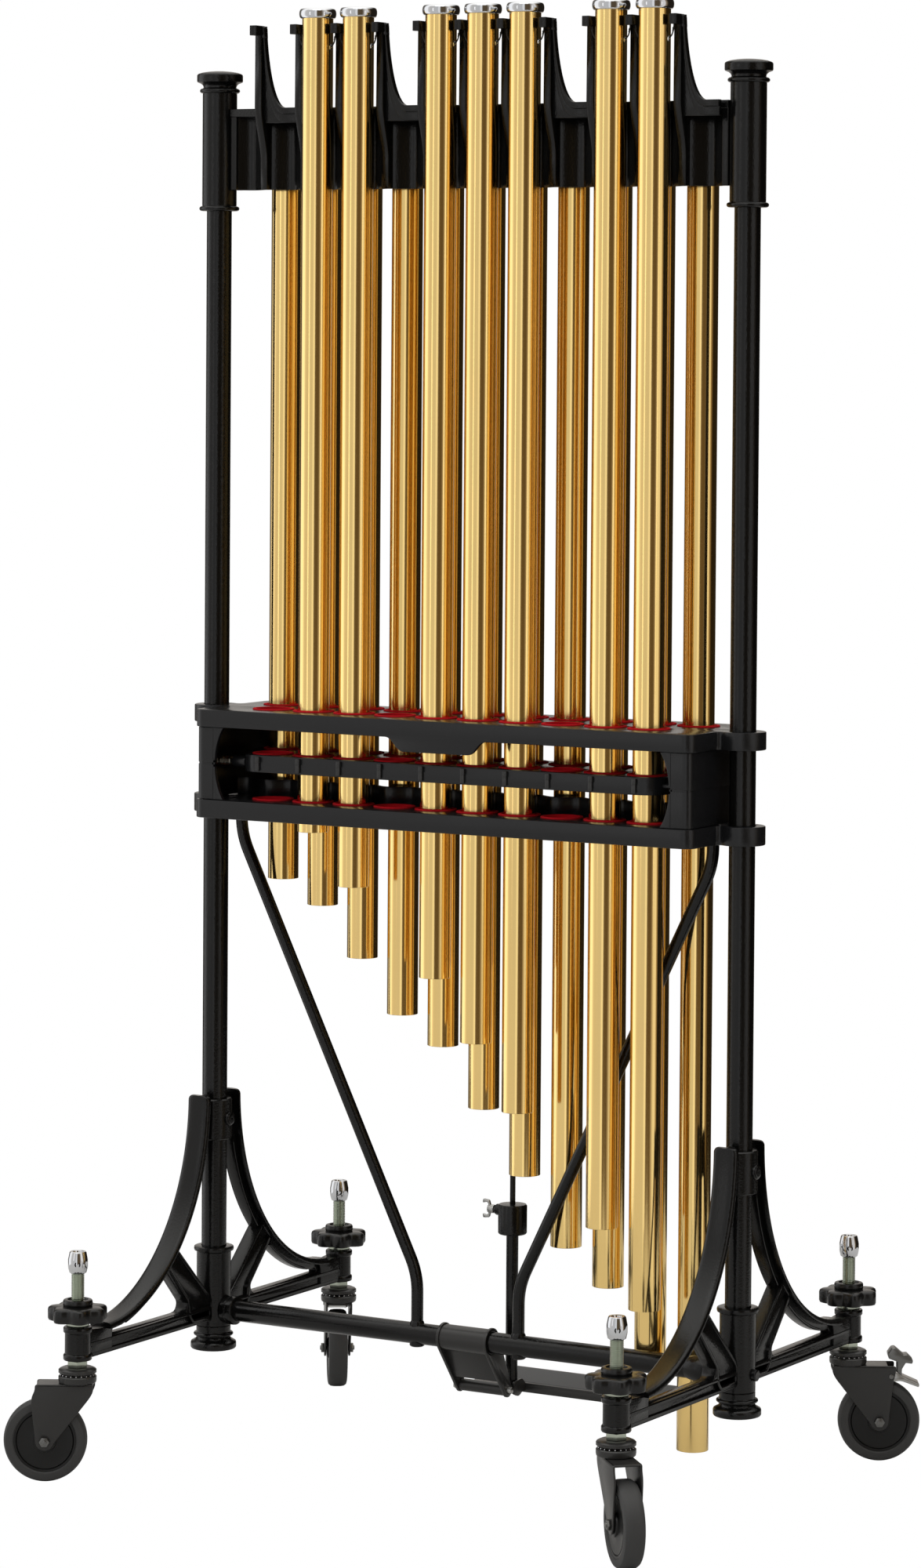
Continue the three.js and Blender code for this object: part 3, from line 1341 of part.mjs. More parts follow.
// A caster fork that trails towards +X, with its axle bolt.
function fork(braked) {
  const ring = turned(
    [
      [0, FORK_TOP - 12],
      [RACE_RADIUS, FORK_TOP - 12],
      [RACE_RADIUS, FORK_TOP - 2],
      [RACE_RADIUS - 2, FORK_TOP],
      [0, FORK_TOP],
    ],
    12,
  );
  const crownLow = FORK_TOP - 14;
  const outer = FORK_INNER + FORK_PLATE;
  const crown = box(-RACE_RADIUS + 4, TRAIL + 10, -outer, outer, crownLow, crownLow + 3);
  const cheek = new THREE.Shape();
  cheek.moveTo(-RACE_RADIUS + 3, crownLow + 3);
  cheek.lineTo(-RACE_RADIUS + 3, crownLow - 8);
  cheek.lineTo(TRAIL - 11, WHEEL_RADIUS - 3);
  cheek.absarc(TRAIL, WHEEL_RADIUS, 11, Math.PI + 0.25, 2 * Math.PI - 0.1);
  cheek.lineTo(TRAIL + 17, crownLow - 14);
  cheek.lineTo(TRAIL + (braked ? 20 : 12), crownLow + 3);
  let made = join(ring, crown);
  for (const sign of [-1, 1]) {
    const y0 = sign > 0 ? FORK_INNER : -outer;
    made = made.add(frontPlate(cheek, y0, y0 + FORK_PLATE, 3));
  }
  const axle = rodAlongY(AXLE_RADIUS, -outer - 4, outer + 4, TRAIL, WHEEL_RADIUS, 8);
  made = made.add(axle);
  made = made.add(rodAlongY(7.5, -outer - 5, -outer + 0.5, TRAIL, WHEEL_RADIUS, 6));
  made = made.add(rodAlongY(7, outer - 0.5, outer + 6, TRAIL, WHEEL_RADIUS, 6));
  if (braked) {
    made = made.add(
      rodAlongY(3, -outer - 1, outer + 1, BRAKE_PIVOT_TRAIL, BRAKE_PIVOT_Z, 10),
    );
  }
  return made;
}

// A wheel on the axle of a fork that trails towards +X, one flat of its rim on the floor.
function wheel() {
  const rim = WHEEL_RADIUS / Math.cos(Math.PI / WHEEL_SIDES);
  const half = WHEEL_WIDTH / 2;
  const hubHalf = FORK_INNER - PIN_GAP;
  const bore = AXLE_RADIUS + GAP;
  const profile = [
    [bore, -hubHalf],
    [14, -hubHalf],
    [17, -half + 2],
    [rim - 3, -half],
    [rim, -half + 3],
    [rim, half - 3],
    [rim - 3, half],
    [17, half - 2],
    [14, hubHalf],
    [bore, hubHalf],
    [bore, -hubHalf],
  ];
  const points = profile.map(([r, y]) => new THREE.Vector2(r, y));
  const geometry = new THREE.LatheGeometry(points, WHEEL_SIDES);
  geometry.rotateY(Math.PI / WHEEL_SIDES);
  geometry.translate(TRAIL, 0, WHEEL_RADIUS);
  return solid(geometry);
}

// The brake lever between the cheeks of a fork, with its cam above the tread.
function brakeLever() {
  const x = BRAKE_PIVOT_TRAIL;
  const z = BRAKE_PIVOT_Z;
  const outline = shapeOf([
    [x - 9, z - 4],
    [x + 4, z - 7],
    [x + 12, z - 6],
    [x + 34, z - 14],
    [x + 35, z - 10],
    [x + 14, z - 1],
    [x + 6, z + 6],
    [x - 6, z + 6],
  ]);
  const half = FORK_INNER - PIN_GAP;
  const lever = frontPlate(outline, -half, half);
  return lever.subtract(rodAlongY(3 + GAP, -half - 1, half + 1, x, z, 10));
}

function addCasters() {
  for (const [name, sideX, sideY, heading, braked] of CASTERS) {
    const stand = new THREE.Group();
    stand.position.set(sideX * POST_X, sideY * LEG_REACH, 0);
    bells.add(stand);
    addPart("spindle_" + name, spindle(), "zinc", stand);
    addPart("star_knob_" + name, starKnob(), "knob", stand);
    const swivel = new THREE.Group();
    swivel.rotation.z = THREE.MathUtils.degToRad(heading);
    stand.add(swivel);
    addPart("fork_" + name, fork(braked), "frame", swivel);
    addPart("wheel_" + name, wheel(), "tread", swivel);
    if (braked) addPart("brake_lever_" + name, brakeLever(), "steel", swivel);
  }
}

addChimes();
addPosts();
addHangerRail();
addDamperPlates();
addEndBlocks();
addDamperBar();
addReturnSpring();
addBellCrank();
addPullLinkage();
addLowerFrame();
addPedalBracket();
addPedal();
addLegs();
addCasters();

export default bells;
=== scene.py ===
"""Tubular bells: eighteen hanging chimes on a wheeled frame, with a damper box and a pedal.

Sizes are millimetres in the code and metres in the meshes. X runs right, Y to the rear, Z up.
"""

import json
import logging
import math
from dataclasses import dataclass, field
from enum import Enum
from typing import Iterable, Sequence

import bmesh
import bpy
from mathutils import Matrix, Vector
from mathutils.geometry import tessellate_polygon

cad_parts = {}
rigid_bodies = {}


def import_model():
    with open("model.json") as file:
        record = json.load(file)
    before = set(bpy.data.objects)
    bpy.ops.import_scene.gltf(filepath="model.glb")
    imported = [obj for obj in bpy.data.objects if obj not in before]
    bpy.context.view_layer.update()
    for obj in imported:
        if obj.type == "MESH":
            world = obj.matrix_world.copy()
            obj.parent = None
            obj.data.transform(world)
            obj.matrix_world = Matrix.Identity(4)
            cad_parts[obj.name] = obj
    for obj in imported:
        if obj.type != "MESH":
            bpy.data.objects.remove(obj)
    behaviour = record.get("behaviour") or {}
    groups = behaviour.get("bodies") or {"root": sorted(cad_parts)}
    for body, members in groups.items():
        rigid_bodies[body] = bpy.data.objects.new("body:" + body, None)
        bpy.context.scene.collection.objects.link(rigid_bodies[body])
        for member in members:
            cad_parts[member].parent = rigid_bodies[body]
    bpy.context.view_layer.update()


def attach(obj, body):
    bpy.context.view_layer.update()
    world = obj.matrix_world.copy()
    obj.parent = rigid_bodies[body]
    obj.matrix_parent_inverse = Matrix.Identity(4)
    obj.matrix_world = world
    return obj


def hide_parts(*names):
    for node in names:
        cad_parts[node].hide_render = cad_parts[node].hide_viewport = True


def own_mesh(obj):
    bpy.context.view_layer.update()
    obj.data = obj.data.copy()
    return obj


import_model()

logging.basicConfig(level=logging.INFO, format="%(message)s")
log = logging.getLogger("bells")

MM = 0.001

# The chimes: pitch, rows, tops of the caps, the shortest length and what a semitone adds to it.
PITCH = 58.0
REAR_Y = 35.0
FRONT_Y = -35.0
REAR_TOP = 1641.0
FRONT_TOP = 1769.0
SHORTEST = 942.0
SEMITONE = 1.0312

# The frame: posts and their bore, a leg's reach, the crossbar, and a wheel's distance from its swivel.
POST_X = 367.0
POST_BORE = 15.9
LEG_REACH = 297.0
CROSSBAR_Z = 159.0
TRAIL = 38.0

# The damper's plates and its bar, each from its lower to its upper face.
UPPER_PLATE = (893.0, 914.5)
LOWER_PLATE = (781.4, 804.0)
BAR = (839.2, 860.2)

# Axes: the pull rod (x, y), the pedal (y, z), the bell crank (x, z) and a brake lever (x, z) in its fork.
PULL = (24.0, 66.0)
PIVOT = (40.0, 94.0)
CRANK = (44.0, 820.0)
BRAKE_PIN = (52.0, 106.0)

CREASE = math.radians(38)

Point = Sequence[float]


class Side(Enum):
    """Which end of the object a piece belongs to."""

    LEFT = -1
    RIGHT = 1

    @property
    def word(self) -> str:
        """The side as it stands in node names."""
        return self.name.lower()

    @property
    def post(self) -> Matrix:
        """The foot of the post's axis."""
        return Matrix.Translation((self.value * POST_X, 0, 0))


class Plane(Enum):
    """How a flat outline stands in the object."""

    SIDE = ((0, 1, 0), (0, 0, 1), (1, 0, 0))
    FRONT = ((1, 0, 0), (0, 0, 1), (0, -1, 0))

    def matrix(self, offset: Point = (0, 0, 0)) -> Matrix:
        """The matrix that stands the outline up.

        Args:
            offset: Where the outline's origin goes.

        Returns:
            The matrix from outline to object, in millimetres.
        """
        columns = Matrix(self.value).transposed().to_4x4()
        return Matrix.Translation(Vector(offset)) @ columns


SIDE = Plane.SIDE.matrix()
FRONT = Plane.FRONT.matrix()


@dataclass(frozen=True)
class Note:
    """One chime: its node, its place along the row and its length."""

    name: str
    place: float
    y: float
    cap_top: float
    length: float

    @property
    def x(self) -> float:
        """The chime's place across the object."""
        return rear_x(self.place)

    @property
    def stand(self) -> Matrix:
        """The chime's axis on the floor."""
        return Matrix.Translation((self.x, self.y, 0))

    @property
    def foot(self) -> float:
        """The height of the tube's open end."""
        return self.cap_top - self.length

    @property
    def body(self) -> str:
        """The chime's body, which is also its node."""
        return "chime_" + self.name


def rear_x(place: float) -> float:
    """The place across the object of a rear chime, counted from the left."""
    return (place - 5) * PITCH


def all_notes() -> list[Note]:
    """Lists the chimes of both rows.

    Returns:
        The chimes, rear row first.
    """
    down = (0, 1, 3, 5, 6, 8, 10, 12, 13, 15, 17)
    rear = zip("F6 E6 D6 C6 B5 A5 G5 F5 E5 D5 C5".split(), range(11), down)
    places = (1.5, 2.5, 4.5, 5.5, 6.5, 8.5, 9.5)
    front = zip("Ds6 Cs6 As5 Gs5 Fs5 Ds5 Cs5".split(), places, (2, 4, 7, 9, 11, 14, 16))
    notes = []
    for row, y, top in ((rear, REAR_Y, REAR_TOP), (front, FRONT_Y, FRONT_TOP)):
        notes += [Note(name, place, y, top, SHORTEST * SEMITONE**steps) for name, place, steps in row]
    return notes


HOLES = [(rear_x(i), REAR_Y) for i in range(11)]
HOLES += [(rear_x(i + 0.5), FRONT_Y) for i in range(10)]


class Socket:
    """A node output that takes part in sums."""

    def __init__(self, graph: "Graph", socket: bpy.types.NodeSocket) -> None:
        """Keeps the output and the tree that it belongs to."""
        self.graph = graph
        self.socket = socket

    def _maths(self, operation: str, first: object, second: object) -> "Socket":
        """Adds a maths node.

        Args:
            operation: What it does.
            first: Its first input.
            second: Its second input.

        Returns:
            Its output.
        """
        node = self.graph.node("ShaderNodeMath", operation=operation)
        self.graph.feed(node.inputs[0], first)
        self.graph.feed(node.inputs[1], second)
        return Socket(self.graph, node.outputs[0])

    def __add__(self, other: object) -> "Socket":
        """This plus the other."""
        return self._maths("ADD", self, other)

    def __radd__(self, other: object) -> "Socket":
        """The other plus this."""
        return self._maths("ADD", other, self)

    def __sub__(self, other: object) -> "Socket":
        """This less the other."""
        return self._maths("SUBTRACT", self, other)

    def __mul__(self, other: object) -> "Socket":
        """This times the other."""
        return self._maths("MULTIPLY", self, other)

    def __rmul__(self, other: object) -> "Socket":
        """The other times this."""
        return self._maths("MULTIPLY", other, self)

    def __truediv__(self, other: object) -> "Socket":
        """This divided by the other."""
        return self._maths("DIVIDE", self, other)


class Graph:
    """Builds the nodes of one tree."""

    def __init__(self, tree: bpy.types.NodeTree) -> None:
        """Keeps the tree."""
        self.tree = tree

    def node(self, kind: str, **settings: object) -> bpy.types.Node:
        """Adds a node.

        Args:
            kind: The node's type.
            **settings: Its properties.

        Returns:
            The node.
        """
        made = self.tree.nodes.new(kind)
        for name, value in settings.items():
            setattr(made, name, value)
        return made

    def feed(self, target: bpy.types.NodeSocket, value: object) -> None:
        """Gives an input a link or a plain value.

        Args:
            target: The input.
            value: The link or the value.
        """
        if isinstance(value, Socket):
            self.tree.links.new(value.socket, target)
        elif isinstance(value, bpy.types.NodeSocket):
            self.tree.links.new(value, target)
        else:
            target.default_value = value

    def out(self, node: bpy.types.Node, name: str | int = 0) -> Socket:
        """One output of a node, ready for sums."""
        return Socket(self, node.outputs[name])

    def grey(self, level: Socket) -> bpy.types.NodeSocket:
        """A colour with the same level in all three channels.

        Args:
            level: How light it is.

        Returns:
            The colour.
        """
        tone = self.node("ShaderNodeCombineColor")
        for channel in range(3):
            self.feed(tone.inputs[channel], level)
        return tone.outputs[0]

    def noise(self, coordinates: Socket, scale: Point, detail: float) -> Socket:
        """Noise stretched along the object's own axes.

        Args:
            coordinates: Where it is read.
            scale: How often it varies along X, Y and Z, per metre.
            detail: How many octaves it has.

        Returns:
            The noise, around one half.
        """
        mapping = self.node("ShaderNodeMapping")
        self.feed(mapping.inputs["Vector"], coordinates)
        mapping.inputs["Scale"].default_value = scale
        texture = self.node("ShaderNodeTexNoise", noise_dimensions="3D")
        self.feed(texture.inputs["Vector"], mapping.outputs[0])
        texture.inputs["Scale"].default_value = 1.0
        texture.inputs["Detail"].default_value = detail
        return self.out(texture, 0)


@dataclass(frozen=True)
class Finish:
    """One surface finish and how it wears and varies.

    Attributes:
        name: The material's name.
        slot: The record's slot.
        color: The base colour.
        roughness: The plain roughness.
        metallic: One for bare metal.
        grain: How often the surface varies along X, Y and Z, per metre.
        bump: How deep the grain looks, in millimetres.
        vary: How far roughness and colour vary.
        coat: How much clear coat lies on it.
        shine: How strongly it mirrors head-on, where it isn't metal.
    """

    name: str
    slot: str
    color: tuple[float, float, float]
    roughness: float
    metallic: float = 0.0
    grain: tuple[float, float, float] = (900.0, 900.0, 900.0)
    bump: float = 0.05
    vary: float = 0.15
    coat: float = 0.0
    shine: float = 0.5

    def material(self) -> bpy.types.Material:
        """Makes the material once and gives it back after that.

        Returns:
            The material.
        """
        if self.name in bpy.data.materials:
            return bpy.data.materials[self.name]
        made = bpy.data.materials.new(self.name)
        made.use_nodes = True
        graph = Graph(made.node_tree)
        shader = made.node_tree.nodes["Principled BSDF"]
        place = graph.out(graph.node("ShaderNodeTexCoord"), "Object")
        fine = graph.noise(place, self.grain, 2.0)
        broad = graph.noise(place, (9.0, 9.0, 6.0), 3.0)
        level = 1.0 + (broad - 0.5) * self.vary + (fine - 0.5) * (self.vary * 0.5)
        mix = graph.node("ShaderNodeMix", data_type="RGBA", blend_type="MULTIPLY")
        mix.inputs["Factor"].default_value = 1.0
        mix.inputs[6].default_value = (*self.color, 1.0)
        graph.feed(mix.inputs[7], graph.grey(level))
        graph.feed(shader.inputs["Base Color"], mix.outputs[2])
        rough = self.roughness * (1.0 + (fine - 0.5) * self.vary)
        graph.feed(shader.inputs["Roughness"], rough)
        shader.inputs["Metallic"].default_value = self.metallic
        shader.inputs["Specular IOR Level"].default_value = self.shine
        shader.inputs["Coat Weight"].default_value = self.coat
        shader.inputs["Coat Roughness"].default_value = 0.12
        bump = graph.node("ShaderNodeBump")
        bump.inputs["Strength"].default_value = 1.0
        bump.inputs["Distance"].default_value = self.bump * MM
        graph.feed(bump.inputs["Height"], fine)
        graph.feed(shader.inputs["Normal"], bump.outputs[0])
        return made


BRASS = Finish("brushed brass", "brass", (0.93, 0.66, 0.25), 0.13, 1.0, (25, 25, 2600), 0.004, 0.1, coat=0.3)
CHROME = Finish("bright chrome", "chrome", (0.62, 0.63, 0.65), 0.06, 1.0, (60, 60, 60), 0.002, 0.06)
POWDER = Finish(
    "black powder coat", "frame", (0.003, 0.003, 0.003), 0.19, 0.0, (480, 480, 480), 0.24, 0.4, shine=0.3
)
BOX = Finish(
    "fine black texture", "box", (0.008, 0.0084, 0.0095), 0.25, 0.0, (800, 800, 800), 0.18, 0.35, shine=0.34
)
FELT = Finish("red felt", "box", (0.42, 0.006, 0.012), 0.95, 0.0, (1800, 1800, 1800), 0.25, 0.5, shine=0.1)
ZINC = Finish("pale zinc", "zinc", (0.46, 0.5, 0.42), 0.24, 1.0, (200, 200, 900), 0.01, 0.2)
KNOB = Finish(
    "moulded plastic", "knob", (0.005, 0.005, 0.005), 0.26, 0.0, (400, 400, 400), 0.01, 0.2, shine=0.35
)
TREAD = Finish("rubber tread", "tread", (0.04, 0.04, 0.04), 0.55, 0.0, (350, 350, 350), 0.04, 0.3, shine=0.3)
HUB = Finish("wheel hub", "tread", (0.004, 0.004, 0.004), 0.32, 0.0, (300, 300, 300), 0.01, 0.25, shine=0.3)
PRESSED = Finish(
    "pressed steel, black", "frame", (0.019, 0.0185, 0.018), 0.3, 0.0, (250, 250, 250), 0.02, 0.25,
    shine=0.42,
)
BOLT = Finish("bolt steel", "steel", (0.17, 0.17, 0.165), 0.33, 1.0, (400, 400, 400), 0.01, 0.25)
STEEL = Finish("bare steel", "steel", (0.42, 0.42, 0.41), 0.3, 1.0, (400, 400, 400), 0.01, 0.2)
SPRING = Finish("spring wire", "steel", (0.36, 0.34, 0.29), 0.25, 1.0, (900, 900, 900), 0.01, 0.2)
CORD = Finish("black cord", "frame", (0.008, 0.008, 0.008), 0.8, 0.0, (2500, 2500, 2500), 0.1, 0.4)
GRIP = Finish("grip sheet", "frame", (0.045, 0.047, 0.05), 0.7, 0.0, (1200, 1200, 1200), 0.08, 0.4)


def weave(half: float, wave: float, wall: float, steps: int) -> list[Point]:
    """The plan of an upright wall that weaves between the two rows.

    Args:
        half: Half its length.
        wave: How far it swings to each side.
        wall: How thick it is.
        steps: How many steps it has along its length.

    Returns:
        The outline.
    """
    front, back = [], []
    for i in range(steps + 1):
        x = -half + 2 * half * i / steps
        y = -wave * math.cos(2 * math.pi * x / PITCH)
        slope = 2 * math.pi / PITCH * wave * math.sin(2 * math.pi * x / PITCH)
        normal = Vector((-slope, 1)).normalized() * (wall / 2)
        front.append((x - normal.x, y - normal.y))
        back.append((x + normal.x, y + normal.y))
    return [*front, *reversed(back)]


def inset_ring(ring: Sequence[Vector], distance: float) -> list[Vector]:
    """Moves a closed outline towards its left-hand side.

    Args:
        ring: The outline's points.
        distance: How far.

    Returns:
        The moved points.
    """
    moved = []
    count = len(ring)
    for i in range(count):
        before = (ring[i] - ring[i - 1]).normalized()
        after = (ring[(i + 1) % count] - ring[i]).normalized()
        first = Vector((-before.y, before.x))
        second = Vector((-after.y, after.x))
        mitre = (first + second) / max(1.0 + first.dot(second), 0.35)
        moved.append(ring[i] + mitre * distance)
    return moved


def signed_area(ring: Sequence[Vector]) -> float:
    """Twice the area of an outline, positive if it turns left."""
    return sum(ring[i - 1].cross(ring[i]) for i in range(len(ring)))


def arc(x: float, y: float, radius: float, start: float, end: float, steps: int) -> list[Point]:
    """The points of an arc, both ends included.

    Args:
        x: The centre's first coordinate.
        y: The centre's second coordinate.
        radius: The radius.
        start: The first angle, in radians.
        end: The last angle.
        steps: How many straight steps.

    Returns:
        The points.
    """
    turns = (start + (end - start) * i / steps for i in range(steps + 1))
    return [(x + radius * math.cos(turn), y + radius * math.sin(turn)) for turn in turns]


def circle(x: float, y: float, radius: float, sides: int = 48) -> list[Point]:
    """The points of a round outline."""
    return arc(x, y, radius, 0, 2 * math.pi, sides)[:-1]


def oblong(x0: float, y0: float, x1: float, y1: float) -> list[Point]:
    """The four corners of a box between two opposite ones."""
    return [(x0, y0), (x1, y0), (x1, y1), (x0, y1)]


def moved(points: Sequence[Point], x: float, y: float) -> list[Point]:
    """The points, shifted."""
    return [(x + a, y + b) for a, b in points]


def mirrored(points: Sequence[Point]) -> list[Point]:
    """The points and then their mirror images across the middle, in turn."""
    return [*points, *((-x, y) for x, y in reversed(points))]


def bead(
    radius: float, bulge: float, low: float, high: float, angles: range = range(-90, 91, 22)
) -> list[Point]:
    """A rounded ring on a turned profile.

    Args:
        radius: Where it starts from.
        bulge: How far it stands out.
        low: Its lowest height.
        high: Its highest height.
        angles: Its steps, in degrees.

    Returns:
        The points.
    """
    middle, half = (low + high) / 2, (high - low) / 2
    turns = [math.radians(angle) for angle in angles]
    return [(radius + bulge * math.cos(turn), middle + half * math.sin(turn)) for turn in turns]


def along_x(x: float, y: float, z: float, quarter: float = 1) -> Matrix:
    """The place of a turned shape that lies along X, backwards for minus one quarter."""
    return Matrix.Translation((x, y, z)) @ Matrix.Rotation(math.pi / 2 * quarter, 4, "Y")


def facing_x(x: float, y: float, z: float, sign: float) -> Matrix:
    """The same, turned over where the sign is negative."""
    place = along_x(x, y, z)
    return place if sign > 0 else place @ Matrix.Rotation(math.pi, 4, "X")


def bezier(points: Sequence[Point], steps: int) -> list[Vector]:
    """Points along a curve of any order.

    Args:
        points: The control points.
        steps: How many straight steps.

    Returns:
        The points, both ends included.
    """
    made = []
    order = len(points) - 1
    for i in range(steps + 1):
        t = i / steps
        total = Vector([0.0] * len(points[0]))
        for k, point in enumerate(points):
            share = math.comb(order, k) * t**k * (1 - t) ** (order - k)
            total += Vector(point) * share
        made.append(total)
    return made


def curve(points: Sequence[Point], steps: int) -> list[Point]:
    """The same curve as plain points."""
    return [tuple(p) for p in bezier(points, steps)]


def linked(name: str, data: bpy.types.ID) -> bpy.types.Object:
    """Makes an object of the data and puts it into the scene.

    Args:
        name: The object's name.
        data: What it shows.

    Returns:
        The object.
    """
    made = bpy.data.objects.new(name, data)
    bpy.context.scene.collection.objects.link(made)
    return made


def rounded(points: Sequence[Point], radius: float | Sequence[float], steps: int = 5) -> list[Point]:
    """Rounds the corners of a closed outline.

    Args:
        points: The corners.
        radius: How much of each side the rounding takes, one value or one per corner.
        steps: How many steps each corner gets.

    Returns:
        The rounded outline.
    """
    made: list[Point] = []
    count = len(points)
    for i in range(count):
        here = Vector(points[i])
        size = radius if isinstance(radius, (int, float)) else radius[i]
        back = Vector(points[i - 1]) - here
        ahead = Vector(points[(i + 1) % count]) - here
        start = here + back.normalized() * min(size, back.length * 0.49)
        end = here + ahead.normalized() * min(size, ahead.length * 0.49)
        if size < 0.01:
            made.append(tuple(here))
            continue
        made += curve([start, here, end], steps)
    return made


@dataclass
class Builder:
    """Collects the shapes of one piece and makes them into one object.

    Attributes:
        name: The object's name.
        finish: What it is finished in.
        at: Where its shapes stand.
    """

    name: str
    finish: Finish
    at: Matrix = field(default_factory=lambda: Matrix.Identity(4))
    mesh: bmesh.types.BMesh = field(default_factory=bmesh.new)

    def skin(
        self, rings: list[list[Vector]], at: Matrix = Matrix.Identity(4), wrap: bool = False
    ) -> "Builder":
        """Joins rings of points, where a ring of one point closes an end.

        Args:
            rings: The rings in turn.
            at: Where they stand.
            wrap: True where the last ring joins the first.

        Returns:
            The builder.
        """
        place = self.at @ at
        rows = [[self.mesh.verts.new((place @ p) * MM) for p in ring] for ring in rings]
        pairs = list(zip(rows, rows[1:]))
        if wrap:
            pairs.append((rows[-1], rows[0]))
        faces = []
        for low, high in pairs:
            count = max(len(low), len(high))
            for i in range(count):
                j = (i + 1) % count
                corner = [low[i % len(low)], low[j % len(low)], high[j % len(high)], high[i % len(high)]]
                corner = [v for k, v in enumerate(corner) if v is not corner[k - 1]]
                if len(corner) > 2:
                    faces.append(self.mesh.faces.new(corner))
        bmesh.ops.recalc_face_normals(self.mesh, faces=faces)
        return self

    def lathe(
        self,
        profile: Sequence[Point],
        sides: int,
        at: Matrix = Matrix.Identity(4),
        closed: bool = False,
    ) -> "Builder":
        """Turns a profile of [radius, height] points about Z.

        Args:
            profile: The points, from one end on the axis to the other.
            sides: How many sides it gets.
            at: Where it stands.
            closed: True where the profile closes on itself.

        Returns:
            The builder.
        """
        rings = []
        for radius, height in profile:
            if radius < 1e-6:
                rings.append([Vector((0, 0, height))])
                continue
            rings.append([Vector((x, y, height)) for x, y in circle(0, 0, radius, sides)])
        return self.skin(rings, at, closed)

    def plate(
        self,
        outline: Sequence[Point],
        low: float,
        high: float,
        bevel: float,
        holes: Iterable[Sequence[Point]] = (),
        at: Matrix = Matrix.Identity(4),
    ) -> "Builder":
        """Makes a flat piece with rounded rims.

        Args:
            outline: Its outer edge.
            low: Where it starts along its own normal.
            high: Where it ends.
            bevel: How far its rims are rounded.
            holes: The edges of its holes.
            at: How it stands.

        Returns:
            The builder.
        """
        place = self.at @ at
        rings = []
        for index, ring in enumerate([outline, *holes]):
            flat = [Vector(p) for p in ring]
            flat = [p for k, p in enumerate(flat) if (p - flat[k - 1]).length > 1e-4]
            if (signed_area(flat) > 0) != (index == 0):
                flat.reverse()
            rings.append(flat)
        levels = []
        for angle in (0.0, 45.0, 90.0):
            turn = math.radians(angle)
            levels.append((bevel * (1 - math.sin(turn)), bevel * (1 - math.cos(turn))))
        stack = [(inset, low + up) for inset, up in levels]
        stack += [(inset, high - up) for inset, up in reversed(levels)]
        caps: dict[int, list] = {0: [], len(stack) - 1: []}
        flats: dict[int, list] = {0: [], len(stack) - 1: []}
        for flat in rings:
            rows = []
            for level, (inset, height) in enumerate(stack):
                moved = inset_ring(flat, inset)
                row = [self.mesh.verts.new((place @ Vector((p.x, p.y, height))) * MM) for p in moved]
                rows.append(row)
                if level in caps:
                    caps[level] += row
                    flats[level].append([p.to_3d() for p in moved])
            count = len(flat)
            for lower, upper in zip(rows, rows[1:]):
                for i in range(count):
                    j = (i + 1) % count
                    self.mesh.faces.new([lower[i], lower[j], upper[j], upper[i]])
        for level, corners in caps.items():
            points = [p for ring in flats[level] for p in ring]
            for a, b, c in tessellate_polygon(flats[level]):
                normal = (points[b] - points[a]).cross(points[c] - points[a])
                if (normal.z > 0) == (level == 0):
                    a, c = c, a
                if corners[a] is corners[b] or corners[b] is corners[c]:
                    continue
                self.mesh.faces.new([corners[a], corners[b], corners[c]])
        return self

    def tube(
        self,
        points: Sequence[Point],
        radius: float | Sequence[float],
        sides: int,
    ) -> "Builder":
        """Makes a round bar through points.

        Args:
            points: Its centre line.
            radius: Its radius, one value or one per point.
            sides: How many sides it gets.

        Returns:
            The builder.
        """
        path = [Vector(p) for p in points]
        radii = [radius] * len(path) if isinstance(radius, (int, float)) else list(radius)
        heading = (path[1] - path[0]).normalized()
        across = heading.orthogonal().normalized()
        rings: list[list[Vector]] = [[path[0]]]
        for i, point in enumerate(path):
            ahead = path[min(i + 1, len(path) - 1)] - path[max(i - 1, 0)]
            turn = heading.rotation_difference(ahead.normalized())
            across = turn @ across
            heading = ahead.normalized()
            up = heading.cross(across)
            rings.append([point + across * x + up * y for x, y in circle(0, 0, radii[i], sides)])
        return self.skin([*rings, [path[-1]]])

    def rod(self, start: Point, end: Point, radius: float, sides: int, bevel: float = 0.5) -> "Builder":
        """Makes a round bar with eased ends between two points.

        Args:
            start: One end.
            end: The other end.
            radius: Its radius.
            sides: How many sides it gets.
            bevel: How far its edges are eased.

        Returns:
            The builder.
        """
        axis = Vector(end) - Vector(start)
        turn = Vector((0, 0, 1)).rotation_difference(axis.normalized()).to_matrix().to_4x4()
        length = axis.length
        edge = min(bevel, radius * 0.5, length * 0.3)
        profile = [(0, 0), (radius - edge, 0), (radius - edge * 0.3, edge * 0.3), (radius, edge)]
        profile += [(radius, length - edge), (radius - edge * 0.3, length - edge * 0.3)]
        profile += [(radius - edge, length), (0, length)]
        return self.lathe(profile, sides, Matrix.Translation(Vector(start)) @ turn)

    def block(self, low: Point, high: Point, bevel: float) -> "Builder":
        """Makes a box with rounded edges between two corners.

        Args:
            low: Its lowest corner.
            high: Its highest corner.
            bevel: How far its edges are eased.

        Returns:
            The builder.
        """
        x0, y0, z0 = low
        x1, y1, z1 = high
        return self.plate(rounded(oblong(x0, y0, x1, y1), bevel, 3), z0, z1, bevel * 0.7)

    def data(self, name: str) -> bpy.types.Mesh:
        """Turns the shapes into one mesh, smooth but for its creases.

        Args:
            name: The mesh's name.

        Returns:
            The mesh.
        """
        for edge in self.mesh.edges:
            if len(edge.link_faces) == 2 and edge.calc_face_angle(0.0) > CREASE:
                edge.smooth = False
        for face in self.mesh.faces:
            face.smooth = True
        data = bpy.data.meshes.new(name)
        self.mesh.to_mesh(data)
        self.mesh.free()
        return data

